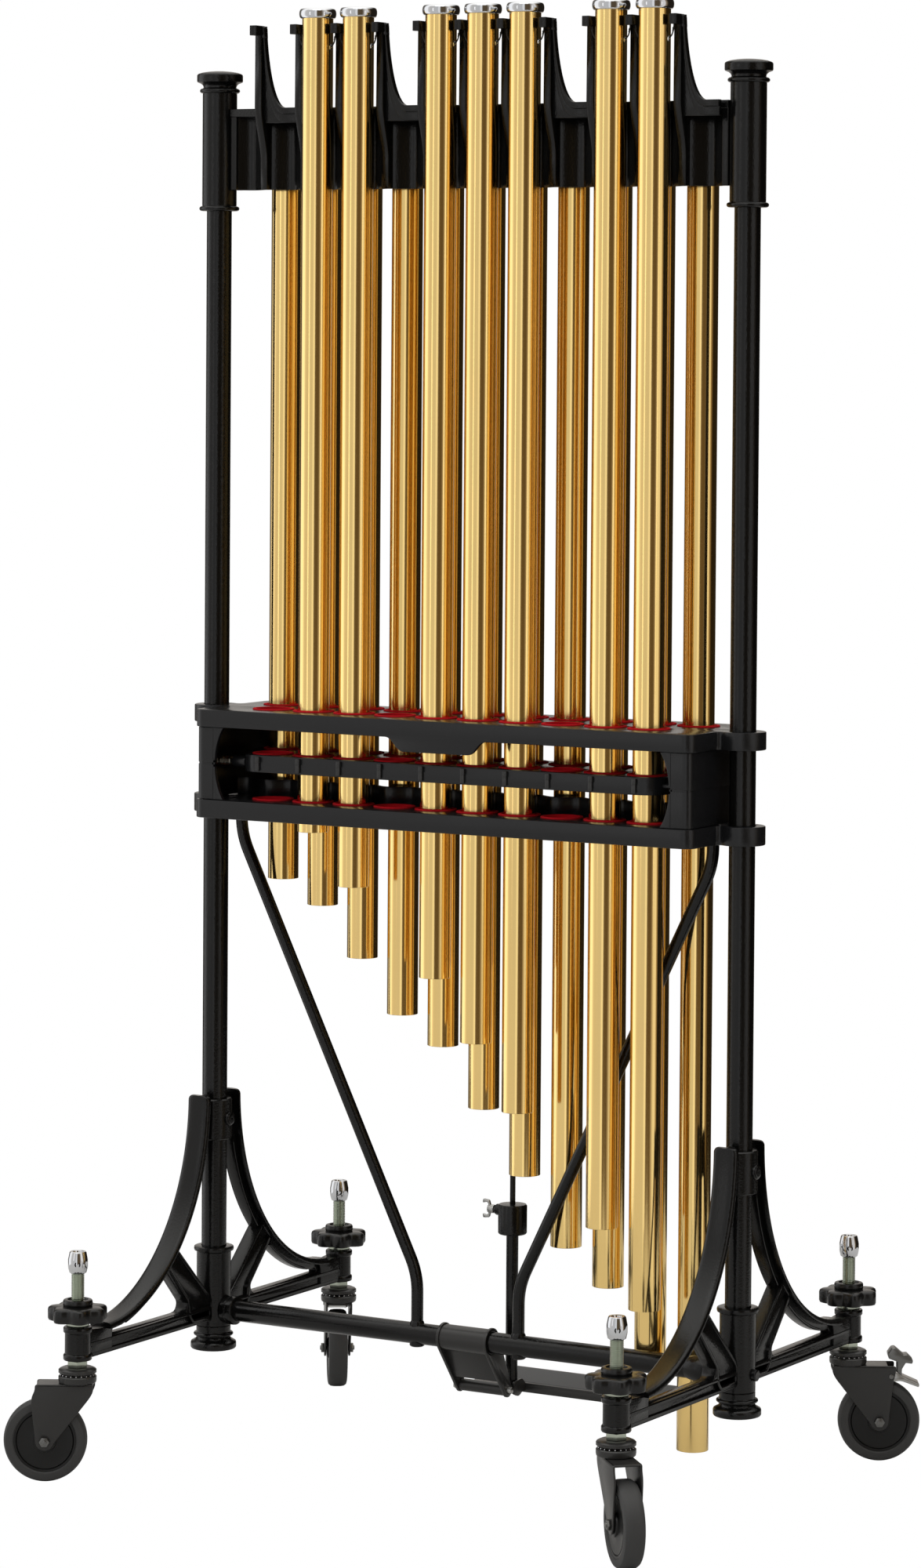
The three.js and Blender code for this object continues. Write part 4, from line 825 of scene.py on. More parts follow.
    def make(self, body: str, *nodes: str, slot: str | None = None) -> bpy.types.Object:
        """Turns the shapes into one object on its body.

        Args:
            body: The body it rides on.
            *nodes: The solids that it stands for.
            slot: The record's slot, where it isn't the finish's own.

        Returns:
            The object.
        """
        word = self.name.replace(" ", "_")
        data = self.data(word)
        data.materials.append(self.finish.material())
        return settle(linked(word, data), body, *nodes, slot=slot or self.finish.slot)


def settle(piece: bpy.types.Object, body: str, *nodes: str, slot: str) -> bpy.types.Object:
    """Gives a finished piece its body and hides the solids it stands for.

    Args:
        piece: The piece.
        body: The body that it rides on.
        *nodes: The solids that it stands for.
        slot: The record's slot, which is not used.

    Returns:
        The piece.
    """
    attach(piece, body)
    if nodes:
        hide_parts(*nodes)
    log.info("%s: %d faces on %s", piece.name, len(piece.data.polygons), body)
    return piece


class Repeater:
    """Repeats one small shape over many places with geometry nodes."""

    def __init__(self, name: str) -> None:
        """Makes the tree that repeats a shape.

        Args:
            name: The tree's name.
        """
        self.tree = bpy.data.node_groups.new(name, "GeometryNodeTree")
        self.ids: dict[str, str] = {}
        for label, kind in (
            ("Geometry", "NodeSocketGeometry"),
            ("Shape", "NodeSocketObject"),
            ("Finish", "NodeSocketMaterial"),
        ):
            made = self.tree.interface.new_socket(label, in_out="INPUT", socket_type=kind)
            self.ids[label] = made.identifier
        self.tree.interface.new_socket("Geometry", in_out="OUTPUT", socket_type="NodeSocketGeometry")
        graph = Graph(self.tree)
        given = graph.node("NodeGroupInput")
        taken = graph.node("NodeGroupOutput")
        info = graph.node("GeometryNodeObjectInfo", transform_space="ORIGINAL")
        instance = graph.node("GeometryNodeInstanceOnPoints")
        real = graph.node("GeometryNodeRealizeInstances")
        paint = graph.node("GeometryNodeSetMaterial")
        graph.feed(info.inputs["Object"], given.outputs["Shape"])
        graph.feed(instance.inputs["Points"], given.outputs["Geometry"])
        graph.feed(instance.inputs["Instance"], info.outputs["Geometry"])
        graph.feed(real.inputs["Geometry"], instance.outputs["Instances"])
        graph.feed(paint.inputs["Geometry"], real.outputs["Geometry"])
        graph.feed(paint.inputs["Material"], given.outputs["Finish"])
        graph.feed(taken.inputs["Geometry"], paint.outputs["Geometry"])

    def repeat(self, name: str, shape: Builder, places: Sequence[Point]) -> bpy.types.Object:
        """Makes one plain mesh of a shape at many places.

        Args:
            name: The new object's name.
            shape: What is repeated, around the origin.
            places: Where it goes, in millimetres.

        Returns:
            The object, not on a body yet.
        """
        pattern = bpy.data.objects.new(name + " shape", shape.data(name + " shape"))
        cloud = bpy.data.meshes.new(name + " places")
        cloud.from_pydata([tuple(Vector(p) * MM) for p in places], [], [])
        carrier = linked(name + " places", cloud)
        modifier = carrier.modifiers.new("Repeat", "NODES")
        modifier.node_group = self.tree
        modifier[self.ids["Shape"]] = pattern
        modifier[self.ids["Finish"]] = shape.finish.material()
        graph = bpy.context.evaluated_depsgraph_get()
        made = bpy.data.meshes.new_from_object(carrier.evaluated_get(graph))
        made.name = name
        carrier.modifiers.remove(modifier)
        bpy.data.objects.remove(carrier)
        bpy.data.objects.remove(pattern)
        return linked(name.replace(" ", "_"), made)


@dataclass
class Chimes:
    """The eighteen tubes with their striking caps and hanging cords."""

    radius: float = 19.05
    wall: float = 1.6
    bore_depth: float = 120.0
    cap_radius: float = 22.7
    cap_height: float = 12.0
    cap_bulge: float = 2.6
    hole_drop: float = 47.0
    hook_rise: float = 16.7
    hook_inset: float = 3.6

    def build(self) -> None:
        """Makes every chime on its own body."""
        for note in all_notes():
            self._tube(note)
            self._cap(note)
            self._cord(note)

    def _tube(self, note: Note) -> None:
        """The tube with the eyelets of its cord.

        Args:
            note: The chime.
        """
        top = note.cap_top - 3
        r, bore, deep = self.radius, self.radius - self.wall, self.bore_depth
        foot = [(r, 0.4), (r - 0.4, 0), (bore + 0.3, 0), (bore, 0.4), (bore, deep), (0, deep)]
        tube = Builder("chime tube " + note.name, BRASS)
        profile = [(0, top), (r, top), *moved(foot, 0, note.foot)]
        tube.lathe(profile, 64, note.stand).make(note.body, note.body)
        eyelets = Builder("cord eyelets " + note.name, CHROME)
        ring = [(1.9, -0.4), (3.4, -0.4), (3.5, 0.3), (2.8, 0.9), (1.9, 0.7)]
        for sign in (-1, 1):
            x = note.x + sign * (r - 0.35)
            eyelets.lathe(ring, 24, facing_x(x, note.y, note.cap_top - self.hole_drop, sign), True)
        eyelets.make(note.body)

    def _cap(self, note: Note) -> None:
        """The pressed cap with its sunk top.

        Args:
            note: The chime.
        """
        top, low, r = note.cap_top, note.cap_top - self.cap_height, self.cap_radius
        profile = [(0, low + 0.6), (self.radius + 0.1, low + 0.6), (self.radius + 0.4, low + 0.1)]
        profile += bead(r - self.cap_bulge, self.cap_bulge, low + 0.15, top - 0.15, range(-80, 81, 16))
        dish = [(r - 3.4, -0.05), (r - 4.4, -0.3), (r - 5.2, -0.75), (r - 6.4, -0.85), (8, -0.55)]
        dish += [(0, -0.45)]
        cap = Builder("chime cap " + note.name, CHROME)
        cap.lathe(profile + moved(dish, 0, top), 64, note.stand).make(note.body)

    def _cord(self, note: Note) -> None:
        """Both ends of the cord, from the hooks into the holes, each with its knot.

        Args:
            note: The chime.
        """
        hole_z = note.cap_top - self.hole_drop
        hook_x = PITCH / 2 - self.hook_inset
        hook_z = hole_z + self.hook_rise
        path = [(hook_x, 0, hook_z), (hook_x - 0.2, -0.3, hook_z - 9)]
        path += [(self.radius + 3.5, 0, hole_z + 1), (self.radius - 3, 0, hole_z)]
        cord = Builder("chime cord " + note.name, CORD)
        for sign in (-1, 1):
            cord.tube(bezier([(note.x + sign * x, note.y + y, z) for x, y, z in path], 14), 0.85, 10)
            knot = (note.x + sign * (hook_x - 0.5), note.y - 0.4, hook_z - 4.5)
            end = (note.x + sign * (hook_x - 1.2), note.y - 1.3, hook_z - 8)
            cord.tube(bezier([knot, (knot[0], knot[1] - 1, knot[2] - 1), end], 6), 0.7, 8)
            cord.tube([(x, knot[1], z) for x, z in circle(knot[0], knot[2], 1.0, 10)], 0.55, 8)
        cord.make(note.body)


@dataclass
class Posts:
    """The two posts with their sleeves, finials and turned feet."""

    radius: float = 15.5
    foot: float = 139.0
    top: float = 1655.0
    sides: int = 56

    def build(self) -> None:
        """Makes both posts and what is turned with them."""
        for side in Side:
            for name, node, profile in (
                ("post ", "post_", oblong(0, self.foot, self.radius, self.top)),
                ("upper sleeve ", "upper_sleeve_", self._sleeve()),
                ("turned foot ", "foot_", self._foot()),
            ):
                piece = Builder(name + side.word, POWDER, side.post)
                piece.lathe(profile, self.sides).make("frame", node + side.word)

    def _sleeve(self) -> list[Point]:
        """The sleeve with its two beads and its finial.

        Returns:
            The profile.
        """
        profile = [(POST_BORE, 1527.0), (16.2, 1525.8), *bead(21.3, 3.6, 1525.6, 1531.8)]
        profile += [(21.3, 1532.4), (21.4, 1534), (21.4, 1668.5), *bead(21.3, 3.6, 1671.0, 1677.0)]
        profile += [(20.6, 1677.8), (20.4, 1679.0), (21.2, 1680.8), (23.4, 1682.8), (26.4, 1684.0)]
        profile += [(28.0, 1684.8), (28.5, 1686.2), (28.5, 1692.8), (27.9, 1694.2), (26.4, 1695.2)]
        profile += [(22.0, 1696.6), (15.0, 1697.7), (8.0, 1698.3), (0, 1698.5), (0, 1660)]
        profile += [(POST_BORE, 1660)]
        return profile

    def _foot(self) -> list[Point]:
        """The turned foot.

        Returns:
            The profile.
        """
        profile = [(0, 109.2), (25.8, 109.2), (27.6, 109.9), (28.5, 111.4), (28.5, 116.6)]
        profile += [(27.8, 118.3), (25.6, 119.6), (23.2, 120.8), (21.6, 122.4), (20.8, 124.2)]
        profile += [*bead(21.2, 3.6, 125.2, 130.2), (21.2, 131.2), (21.4, 132.4), (21.4, 137.6), (0, 137.6)]
        return profile


@dataclass
class HangerRail:
    """The cast rail that weaves between the rows, with its arms, braces and lugs."""

    bottom: float = 1551.0
    top: float = 1651.0
    wave: float = 7.0
    wall: float = 5.0
    half: float = 345.6
    arm: float = 10.0
    front: float = -33.4
    nose_top: float = 1751.0
    rear_nose_top: float = 1623.0
    braced: tuple[int, ...] = (0, 3, 7, 10)

    def build(self) -> None:
        """Makes the whole casting as one piece."""
        rail = Builder("hanger rail", POWDER)
        self._wall(rail)
        for place in range(11):
            self._arm(rail, rear_x(place))
            if place in self.braced:
                self._brace(rail, rear_x(place))
        for place in range(12):
            self._lug(rail, rear_x(place - 0.5))
        rail.make("frame", "hanger_rail")

    def _wall(self, rail: Builder) -> None:
        """The weaving wall, the ledge above it and the blocks at its ends.

        Args:
            rail: The piece that it joins.
        """
        rail.plate(weave(self.half, self.wave, self.wall, 288), self.bottom + 0.1, self.top - 2, 0.6)
        h = self.half - 0.2
        section = [(-9.9, self.top), (-9.9, 1641.4), (-5, 1639.8), (5, 1639.8), (9.9, 1641.4)]
        section += [(9.9, self.top)]
        rail.plate(rounded(section, 0.9, 3), -h, h, 0.3, at=SIDE)
        for sign in (-1, 1):
            low, high = sorted((sign * (h - 9), sign * (h + 0.1)))
            rail.block((low, -8.8, self.bottom + 0.2), (high, 8.8, self.top - 0.2), 1.5)

    def _arm(self, rail: Builder, x: float) -> None:
        """An arm with its nose at the front.

        Args:
            rail: The piece that it joins.
            x: Where it stands across the object.
        """
        f, t, foot = self.front + 0.1, self.nose_top - 0.1, self.bottom + 0.2
        nose = [(f, t - 12.2), (f - 12.3, t - 12.2), (f - 12.3, t), (f + 9.8, t)]
        nose = rounded(nose, [1.0, 0.8, 0.8, 2.5], 3)
        edge = curve([(f + 9.8, 1673), (f + 13, 1652), (-8, self.top - 1)], 8)
        rib = curve([(-19, 1586), (-19, 1600), (-25, 1616), (-34.5, 1638), (f, 1656)], 16)
        outline = [*nose, *edge, (-6.5, self.top - 3), (-6.5, foot), (-19, foot), *rib]
        half = self.arm / 2 - 0.1
        rail.plate(outline, -half, half, 0.9, at=Plane.SIDE.matrix((x, 0, 0)))

    def _curve(self, x: float, inset: float, drop: float) -> list[Point]:
        """The sweep of a brace.

        Args:
            x: The middle of its arm.
            inset: How far it lies inside the free edge at the tip.
            drop: How far it lies below the rail's top.

        Returns:
            The points from the tip down to the next arm.
        """
        tip, foot = self.nose_top - 0.8, self.top - drop
        pull = [(x + 7.4 - inset, tip), (x + 8.8 - inset, 1706 - drop), (x + 19 - drop / 3, foot)]
        pull += [(x + 36, foot)]
        return [*curve(pull, 28), (x + 53.4, foot)]

    def _brace(self, rail: Builder, x: float) -> None:
        """The sweep beside an arm: a web between two rims.

        Args:
            rail: The piece that it joins.
            x: Where it stands across the object.
        """
        front = -self.front
        web = [*self._curve(x, 2.0, 2.0), (x + 53.4, 1632), (x + 1, 1632), (x + 1, self.nose_top - 0.8)]
        rail.plate(web, front - 10.2, front - 7.4, 0.5, at=FRONT)
        for outer, inner, back, near in (
            ((0.3, 0.3), (2.6, 8.0), 10.4, 2.4),
            ((2.2, 7.4), (4.2, 18.5), 10.0, 4.2),
        ):
            strip = [*reversed(self._curve(x, *inner)), *self._curve(x, *outer)]
            rail.plate(strip, front - back, front - near, 0.8, at=FRONT)
        tip = moved([(-1, 1750.4), (7.4, 1750.4), (8.2, 1736), (-1, 1736)], x, 0)
        rail.plate(rounded(tip, [0, 4.0, 0, 0], 6), front - 10.2, front - 1.6, 0.8, at=FRONT)

    def _lug(self, rail: Builder, x: float) -> None:
        """A rear lug, which carries the cords on both sides.

        Args:
            rail: The piece that it joins.
            x: Where it stands across the object.
        """
        b, t = -self.front - 0.1, self.rear_nose_top - 0.1
        sweep = curve([(12, t - 45.8), (b, t - 40), (b, t - 18)], 12)
        outline = [(6.5, t), (6.5, t - 45.8), *sweep, (b, t - 11.9), (b + 12.3, t - 11.9), (b + 12.3, t)]
        rail.plate(outline, -4.9, 4.9, 0.8, at=Plane.SIDE.matrix((x, 0, 0)))


@dataclass
class DamperBox:
    """The two plates, the end blocks, the sliding bar, and the felts."""

    repeater: Repeater
    length: float = 344.9
    depth: float = 87.9
    corner: float = 14.0
    boss: float = 27.4
    hole_radius: float = 22.9
    felt_outer: float = 25.6
    felt_inner: float = 21.4
    rod_y: float = -50.0
    middle: float = 849.7

    def build(self) -> None:
        """Makes the box, the bar and what moves it."""
        posts = [circle(s * POST_X, 0, POST_BORE, 40) for s in (-1, 1)]
        holes = [circle(x, y, self.hole_radius, 40) for x, y in HOLES]
        outline = self._outline()
        upper = Builder("upper damper plate", BOX)
        upper.plate(outline, UPPER_PLATE[0] + 0.05, UPPER_PLATE[1] - 0.05, 1.3, [*holes, *posts])
        tab = [(71, 897), *curve([(71, 893.2), (57, 893.2), (57, 876.2), (43, 876.2)], 12)]
        upper.plate(mirrored(tab), 82.2, 87.85, 0.8, at=FRONT)
        self._screws(upper, (58.0,), UPPER_PLATE[0], UPPER_PLATE[1] - 0.1)
        upper.make("frame", "damper_upper_plate")
        lower = Builder("lower damper plate", BOX)
        rod_hole = circle(*PULL, 5, 20)
        lower.plate(outline, LOWER_PLATE[0] + 0.05, LOWER_PLATE[1] - 0.05, 1.3, [*holes, *posts, rod_hole])
        lower.plate(weave(335, 7, 5, 276), LOWER_PLATE[1] - 0.4, 824.9, 0.8)
        self._screws(lower, (-58.0, 58.0), LOWER_PLATE[0], LOWER_PLATE[1] - 0.1)
        x, z = CRANK
        lower.block((x - 5.8, 69.2, 803.6), (x + 5.8, 74.8, z + 5.6), 1.0)
        lower.rod((x, 62.7, z), (x, 72, z), 2.4, 16)
        lower.make("frame", "damper_lower_plate")
        for side in Side:
            self._end_block(side)
        self._bar(holes)
        self._felts()
        self._spring()
        self._crank()

    def _outline(self) -> list[Point]:
        """The plan of a plate: a rounded box with a boss round each post.

        Returns:
            The outline.
        """
        quarter = arc(self.length - self.corner, self.depth - self.corner, self.corner, math.pi / 2, 0, 8)
        meet = math.asin(22.5 / 27.5)
        join = (POST_X - self.boss * math.cos(meet), self.boss * math.sin(meet))
        quarter += curve([(self.length, 30), (self.length, join[1]), join], 8)
        quarter += arc(POST_X, 0, self.boss, math.pi - meet, 0, 16)[1:]
        return mirrored(quarter + [(x, -y) for x, y in reversed(quarter[:-1])])

    def _screws(self, plate: Builder, rows: Sequence[float], low: float, top: float) -> None:
        """The bolts near the corners.

        Args:
            plate: The piece that they join.
            rows: Where they stand from front to rear.
            low: Where they start.
            top: Where they end.
        """
        for x in (-331.0, 331.0):
            for y in rows:
                plate.rod((x, y, low + 1), (x, y, top + 0.02), 4.2, 24, 0.4)

    def _end_block(self, side: Side) -> None:
        """The wall at one end, with its groove, its returns and the guide rods.

        Args:
            side: Which end it is.
        """
        low, high, outer, depth, wall, edge = 804.4, 892.6, 341.9, 84.9, 5.8, 302.4
        halves = ((low, 847.6), (849.4, high))
        near = edge + 14
        block = Builder("end block " + side.word, BOX, Matrix.Scale(side.value, 4, (1, 0, 0)))
        plan = rounded(oblong(near, -depth, outer, depth), [0, 11, 11, 0], 8)
        inner = rounded(oblong(near, depth - wall, outer - wall, wall - depth), [0, 5, 5, 0], 6)
        for a, b in halves:
            block.plate([*plan, *inner], a, b, 0.7)
        core = rounded(oblong(near, 0.6 - depth, outer - 0.7, depth - 0.6), [0, 10.5, 10.5, 0], 6)
        block.plate([*core, *oblong(near, depth - 5.4, 336.4, 5.4 - depth)], 846, 851, 0.2)
        bow = curve([(edge, low), (edge + 16, low + 24), (edge + 16, high - 24), (edge, high)], 24)
        for y0, y1 in ((depth - wall, depth), (-depth, wall - depth)):
            for a, b in halves:
                part = [p for p in bow if a <= p[1] <= b]
                shape = [*part, (edge + 15, part[-1][1]), (edge + 15, part[0][1])]
                block.plate(shape, -y1, -y0, 0.6, at=FRONT)
            block.block((edge + 12.4, y0 + 0.6, 847.2), (edge + 16, y1 - 0.6, 849.8), 0.2)
        for y, tip in ((self.rod_y, 286.6), (0.0, 304.1)):
            block.rod((tip, y, self.middle), (337.5, y, self.middle), 3.4, 20)
        if side is Side.LEFT:
            bmesh.ops.reverse_faces(block.mesh, faces=block.mesh.faces[:])
        block.make("frame", "end_block_" + side.word)

    def _bar(self, holes: list[list[Point]]) -> None:
        """The sliding bar with its clips.

        Args:
            holes: The edges of the chimes' holes.
        """
        front, rear, depth, corner = 291.9, 320.9, 69.9, 28.0
        right = arc(front - corner, corner - depth, corner, -math.pi / 2, 0, 8)
        right += curve([(front, -corner), (front, -corner / 2), (rear, -corner / 2), (rear, 0)], 10)
        right += arc(rear - corner, depth - corner, corner, 0, math.pi / 2, 8)
        bar = Builder("damper bar", BOX)
        bar.plate(mirrored(right), BAR[0] + 0.05, BAR[1] - 0.05, 1.0, holes)
        bar.rod((-307.9, self.rod_y, self.middle), (-289, self.rod_y, self.middle), 7.2, 24, 0.8)
        bar.make("damper_bar", "damper_bar")
        clip = Builder("bar clip", PRESSED)
        clip.block((-2.7, -1.9, -8.6), (2.7, 1.8, 2.6), 0.9)
        clip.block((-2.2, -3.0, 1.8), (3.4, 1.4, 9.2), 0.9)
        clip.rod((0.6, -3.3, 6.0), (0.6, -2.4, 6.0), 1.3, 12, 0.2)
        places = [(rear_x(i + 0.5), -depth - 0.9, 849.6) for i in range(10)]
        settle(self.repeater.repeat("bar clips", clip, places), "damper_bar", slot="frame")

    def _felts(self) -> None:
        """A ring of felt in each hole."""
        o, i = self.felt_outer, self.felt_inner
        for name, (low, high), body in (
            ("upper felts", UPPER_PLATE, "frame"),
            ("bar felts", BAR, "damper_bar"),
            ("lower felts", LOWER_PLATE, "frame"),
        ):
            profile = [(22.6, low + 0.8), (i, low + 0.6), (i, high + 0.9), (i + 0.5, high + 1.5)]
            profile += [(o - 0.5, high + 1.4), (o, high + 0.8), (o, high - 0.2), (22.6, high - 0.2)]
            ring = Builder("felt", FELT).lathe(profile, 48, closed=True)
            settle(self.repeater.repeat(name, ring, [(x, y, 0) for x, y in HOLES]), body, slot=FELT.slot)

    def _spring(self) -> None:
        """The return spring, which the bar squashes."""
        start, end, steps = -335.1, -308.9, 12 * 16
        points = []
        for i in range(steps + 1):
            turn = 2 * math.pi * i / 16
            x = start + (end - start) * i / steps
            points.append((x, self.rod_y + 5 * math.cos(turn), self.middle + 5 * math.sin(turn)))
        piece = Builder("return spring", SPRING).tube(points, 0.6, 8).make("frame", "return_spring")
        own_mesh(piece)

    def _crank(self) -> None:
        """The bell crank."""
        x, z = CRANK
        shape = [(-24.8, -4.8), (4.8, -4.8), (4.8, 5), (2.4, 22.8), (-2.4, 22.8), (-4.8, 5), (-24.8, 4.8)]
        crank = Builder("bell crank", STEEL)
        shape = rounded(moved(shape, x, z), [4, 4, 3, 2, 2, 3, 4])
        crank.plate(shape, -68.4, -63.6, 0.5, [circle(x, z, 2.8, 20)], FRONT)
        crank.rod((24, 54.7, z), (24, 64, z), 2.4, 16).make("bell_crank", "bell_crank")


@dataclass
class LowerFrame:
    """The crossbar between the legs with its two bent braces."""

    end: float = 345.1
    brace_x: float = 71.0
    brace_top_x: float = 329.0

    def build(self) -> None:
        """Makes the welded frame."""
        bar = Builder("crossbar and braces", POWDER)
        end, low, top = self.end, self.brace_x, self.brace_top_x
        bar.rod((1 - end, 0, CROSSBAR_Z), (end - 1, 0, CROSSBAR_Z), 12.9, 40)
        ring = [(0, 0), (15.5, 0), (17.4, 1.4), (17.8, 4), (17.8, 11), (16.6, 13.2), (13, 13.8), (0, 13.8)]
        boss = [(0, 143.2), (7.4, 143.2), (9.2, 144.6), (9.3, 150), (9.3, 169), (8.6, 172.5)]
        boss += [(7.4, 174.8), (0, 174.8)]
        path = [(top, 781.0), *curve([(top, 777), (top, 755), (top - 9.7, 735.3)], 10)]
        path += [*curve([(low + 9.7, 250.7), (low, 231), (low, 209)], 10), (low, 158)]
        for sign in (-1, 1):
            bar.lathe(ring, 40, along_x(sign * (end - 13.9), 0, CROSSBAR_Z, sign))
            bar.tube([(sign * x, 0, z) for x, z in path], 7.35, 28)
            bar.lathe(boss, 28, Matrix.Translation((sign * low, 0, 0)))
        flare = [(301.2 + 33.6 * i / 12, 12.8 + 3.4 * math.sin(math.pi * i / 12)) for i in range(13)]
        for (x0, r0), (x1, r1) in zip(flare, flare[1:]):
            bar.tube([(x0, 0, CROSSBAR_Z), (x1, 0, CROSSBAR_Z)], [r0, r1], 32)
        bar.make("frame", "lower_frame")


@dataclass
class PedalSet:
    """The pedal with its bracket, and the linkage up to the damper box."""

    bracket_half: float = 34.9
    pedal_half: float = 30.4
    screw_z: float = 308.0

    def build(self) -> None:
        """Makes the bracket, the pedal and the linkage."""
        self._bracket()
        self._pedal()
        self._link()
        self._collar()

    def _bracket(self) -> None:
        """The bracket that hangs from the crossbar, and its pin."""
        y, z = PIVOT
        w = self.bracket_half
        slope = math.atan2(z - CROSSBAR_Z, y)
        cheek = arc(0, CROSSBAR_Z, 17.4, slope + math.pi / 2, slope + math.pi * 1.5, 16)
        cheek += arc(y, z, 8.9, slope - math.pi / 2, slope + math.pi / 2, 12)
        holes = [circle(0, CROSSBAR_Z, 13.4, 32), circle(y, z, 4.3, 16)]
        bracket = Builder("pedal bracket", PRESSED)
        for low, high in ((-w, 3.8 - w), (w - 3.8, w)):
            bracket.plate(cheek, low, high, 0.7, holes, SIDE)
        bracket.lathe(oblong(13.4, -w, 15.6, w), 40, along_x(0, 0, CROSSBAR_Z), True)
        web = rounded([(-2, 147.5), (22, 106.4), (25, 108), (3, 147.5)], 1.0, 3)
        bracket.plate(web, 1 - w, w - 1, 0.4, at=SIDE)
        for x in (-22.0, 22.0):
            bracket.rod((x, 9, 136.2), (x, 14.5, 139.6), 3.4, 6, 0.3)
        bracket.make("frame", "pedal_bracket")
        pin = Builder("pedal pin", STEEL)
        pin.rod((-39.8, y, z), (39.8, y, z), 3.9, 24)
        pin.rod((-39.8, y, z), (-35.5, y, z), 6.3, 6).make("frame", "pedal_pin")

    def _pedal(self) -> None:
        """The pedal with its grip."""
        y, z = PIVOT
        w = self.pedal_half
        pedal = Builder("pedal", PRESSED)
        pedal.lathe(oblong(4.4, -w, 7.4, w), 32, along_x(0, y, z), True)
        pedal.plate(oblong(-28, y + 5, 8, 86), 92.1, 95.9, 0.4)
        pedal.plate(rounded(oblong(-34.9, 80.1, 214.9, 164.9), 8, 8), 92.1, 95.7, 0.5)
        for y0 in (80.2, 161.1):
            pedal.block((-26.8, y0, 84.2), (206.8, y0 + 3.7, 94.8), 0.8)
        strap = [(54, 86.2), (66, 81.4), (74, 86.2), (83, 86.2), (83, 94.8), (74, 102.8), (54, 101)]
        strap = rounded(strap, [2, 5, 3, 1, 1, 4, 4])
        pedal.plate(strap, -1.45, 1.45, 0.4, at=Plane.SIDE.matrix((33.5, 0, 0)))
        pedal.rod((15.6, PULL[1], z), (34.4, PULL[1], z), 2.4, 20)
        for x in (-14.0, -2.0):
            pedal.rod((x, 60, 91.2), (x, 60, 97.0), 3.4, 20, 0.8)
        pedal.make("pedal", "pedal")
        grip = Builder("pedal grip", GRIP)
        sheet = rounded(oblong(-30, 84.5, 210.5, 160.5), 6, 6)
        grip.plate(sheet, 95.4, 95.95, 0.15).make("pedal", slot="frame")

    def _link(self) -> None:
        """The pull tube and the rod inside it."""
        x, y = PULL
        profile = [(5.3, 85.2), (6.8, 85.1), (7.4, 85.8), (7.4, 299.6), (6.8, 299.9), (5.3, 299.9)]
        tube = Builder("pull tube", POWDER, Matrix.Translation((x, y, 0)))
        tube.lathe(profile, 40, closed=True).make("pull_link", "pull_tube")
        rod = Builder("pull rod", POWDER)
        rod.rod((x, y, 200.2), (x, y, 809.8), 3.4, 28)
        rod.block((x - 2.9, 58.1, 807.7), (x + 2.9, 67.9, 812.3), 0.8)
        eye = rounded(oblong(x - 4.9, 807.7, x + 4.9, 825.9), 3)
        rod.plate(eye, -62.9, -58.1, 0.5, [circle(x, CRANK[1], 2.9, 20)], FRONT)
        rod.make("pull_link", "pull_rod")

    def _collar(self) -> None:
        """The clamp collar and its wing screw."""
        x, y = PULL
        z = self.screw_z
        collar = Builder("clamp collar", POWDER)
        profile = [(7.9, 280.1), (16.4, 280.1), (17.7, 281.6), (17.8, 314.6), (16.6, 316.5), (12, 316.8)]
        profile += [(3.9, 316.9), (3.9, 300.4), (7.9, 300.4)]
        collar.lathe(profile, 40, Matrix.Translation((x, y, 0)), True)
        boss = [(3.4, 10), (6.9, 10), (6.9, 21.2), (6.2, 22.8), (3.4, 22.9)]
        collar.lathe(boss, 32, along_x(x, y, z, -1), True).make("pull_link", "clamp_collar")
        screw = Builder("wing screw", STEEL)
        screw.rod((x - 34, y, z), (x - 4, y, z), 2.6, 20)
        screw.rod((x - 33.8, y, z), (x - 25.2, y, z), 5.3, 24, 1.0)
        wing = [(-6, 2), (-9, 8), (-15.8, 6.4), (-14.9, 11.8), (-6.2, 10.8), (-4, 3.6)]
        for sign in (-1, 1):
            half = rounded([(a, b * sign) for a, b in wing], 1.8)
            screw.plate(half, -1.8, 1.8, 1.0, at=Plane.FRONT.matrix((x - 26, y, z)))
        screw.make("wing_screw", "wing_screw")


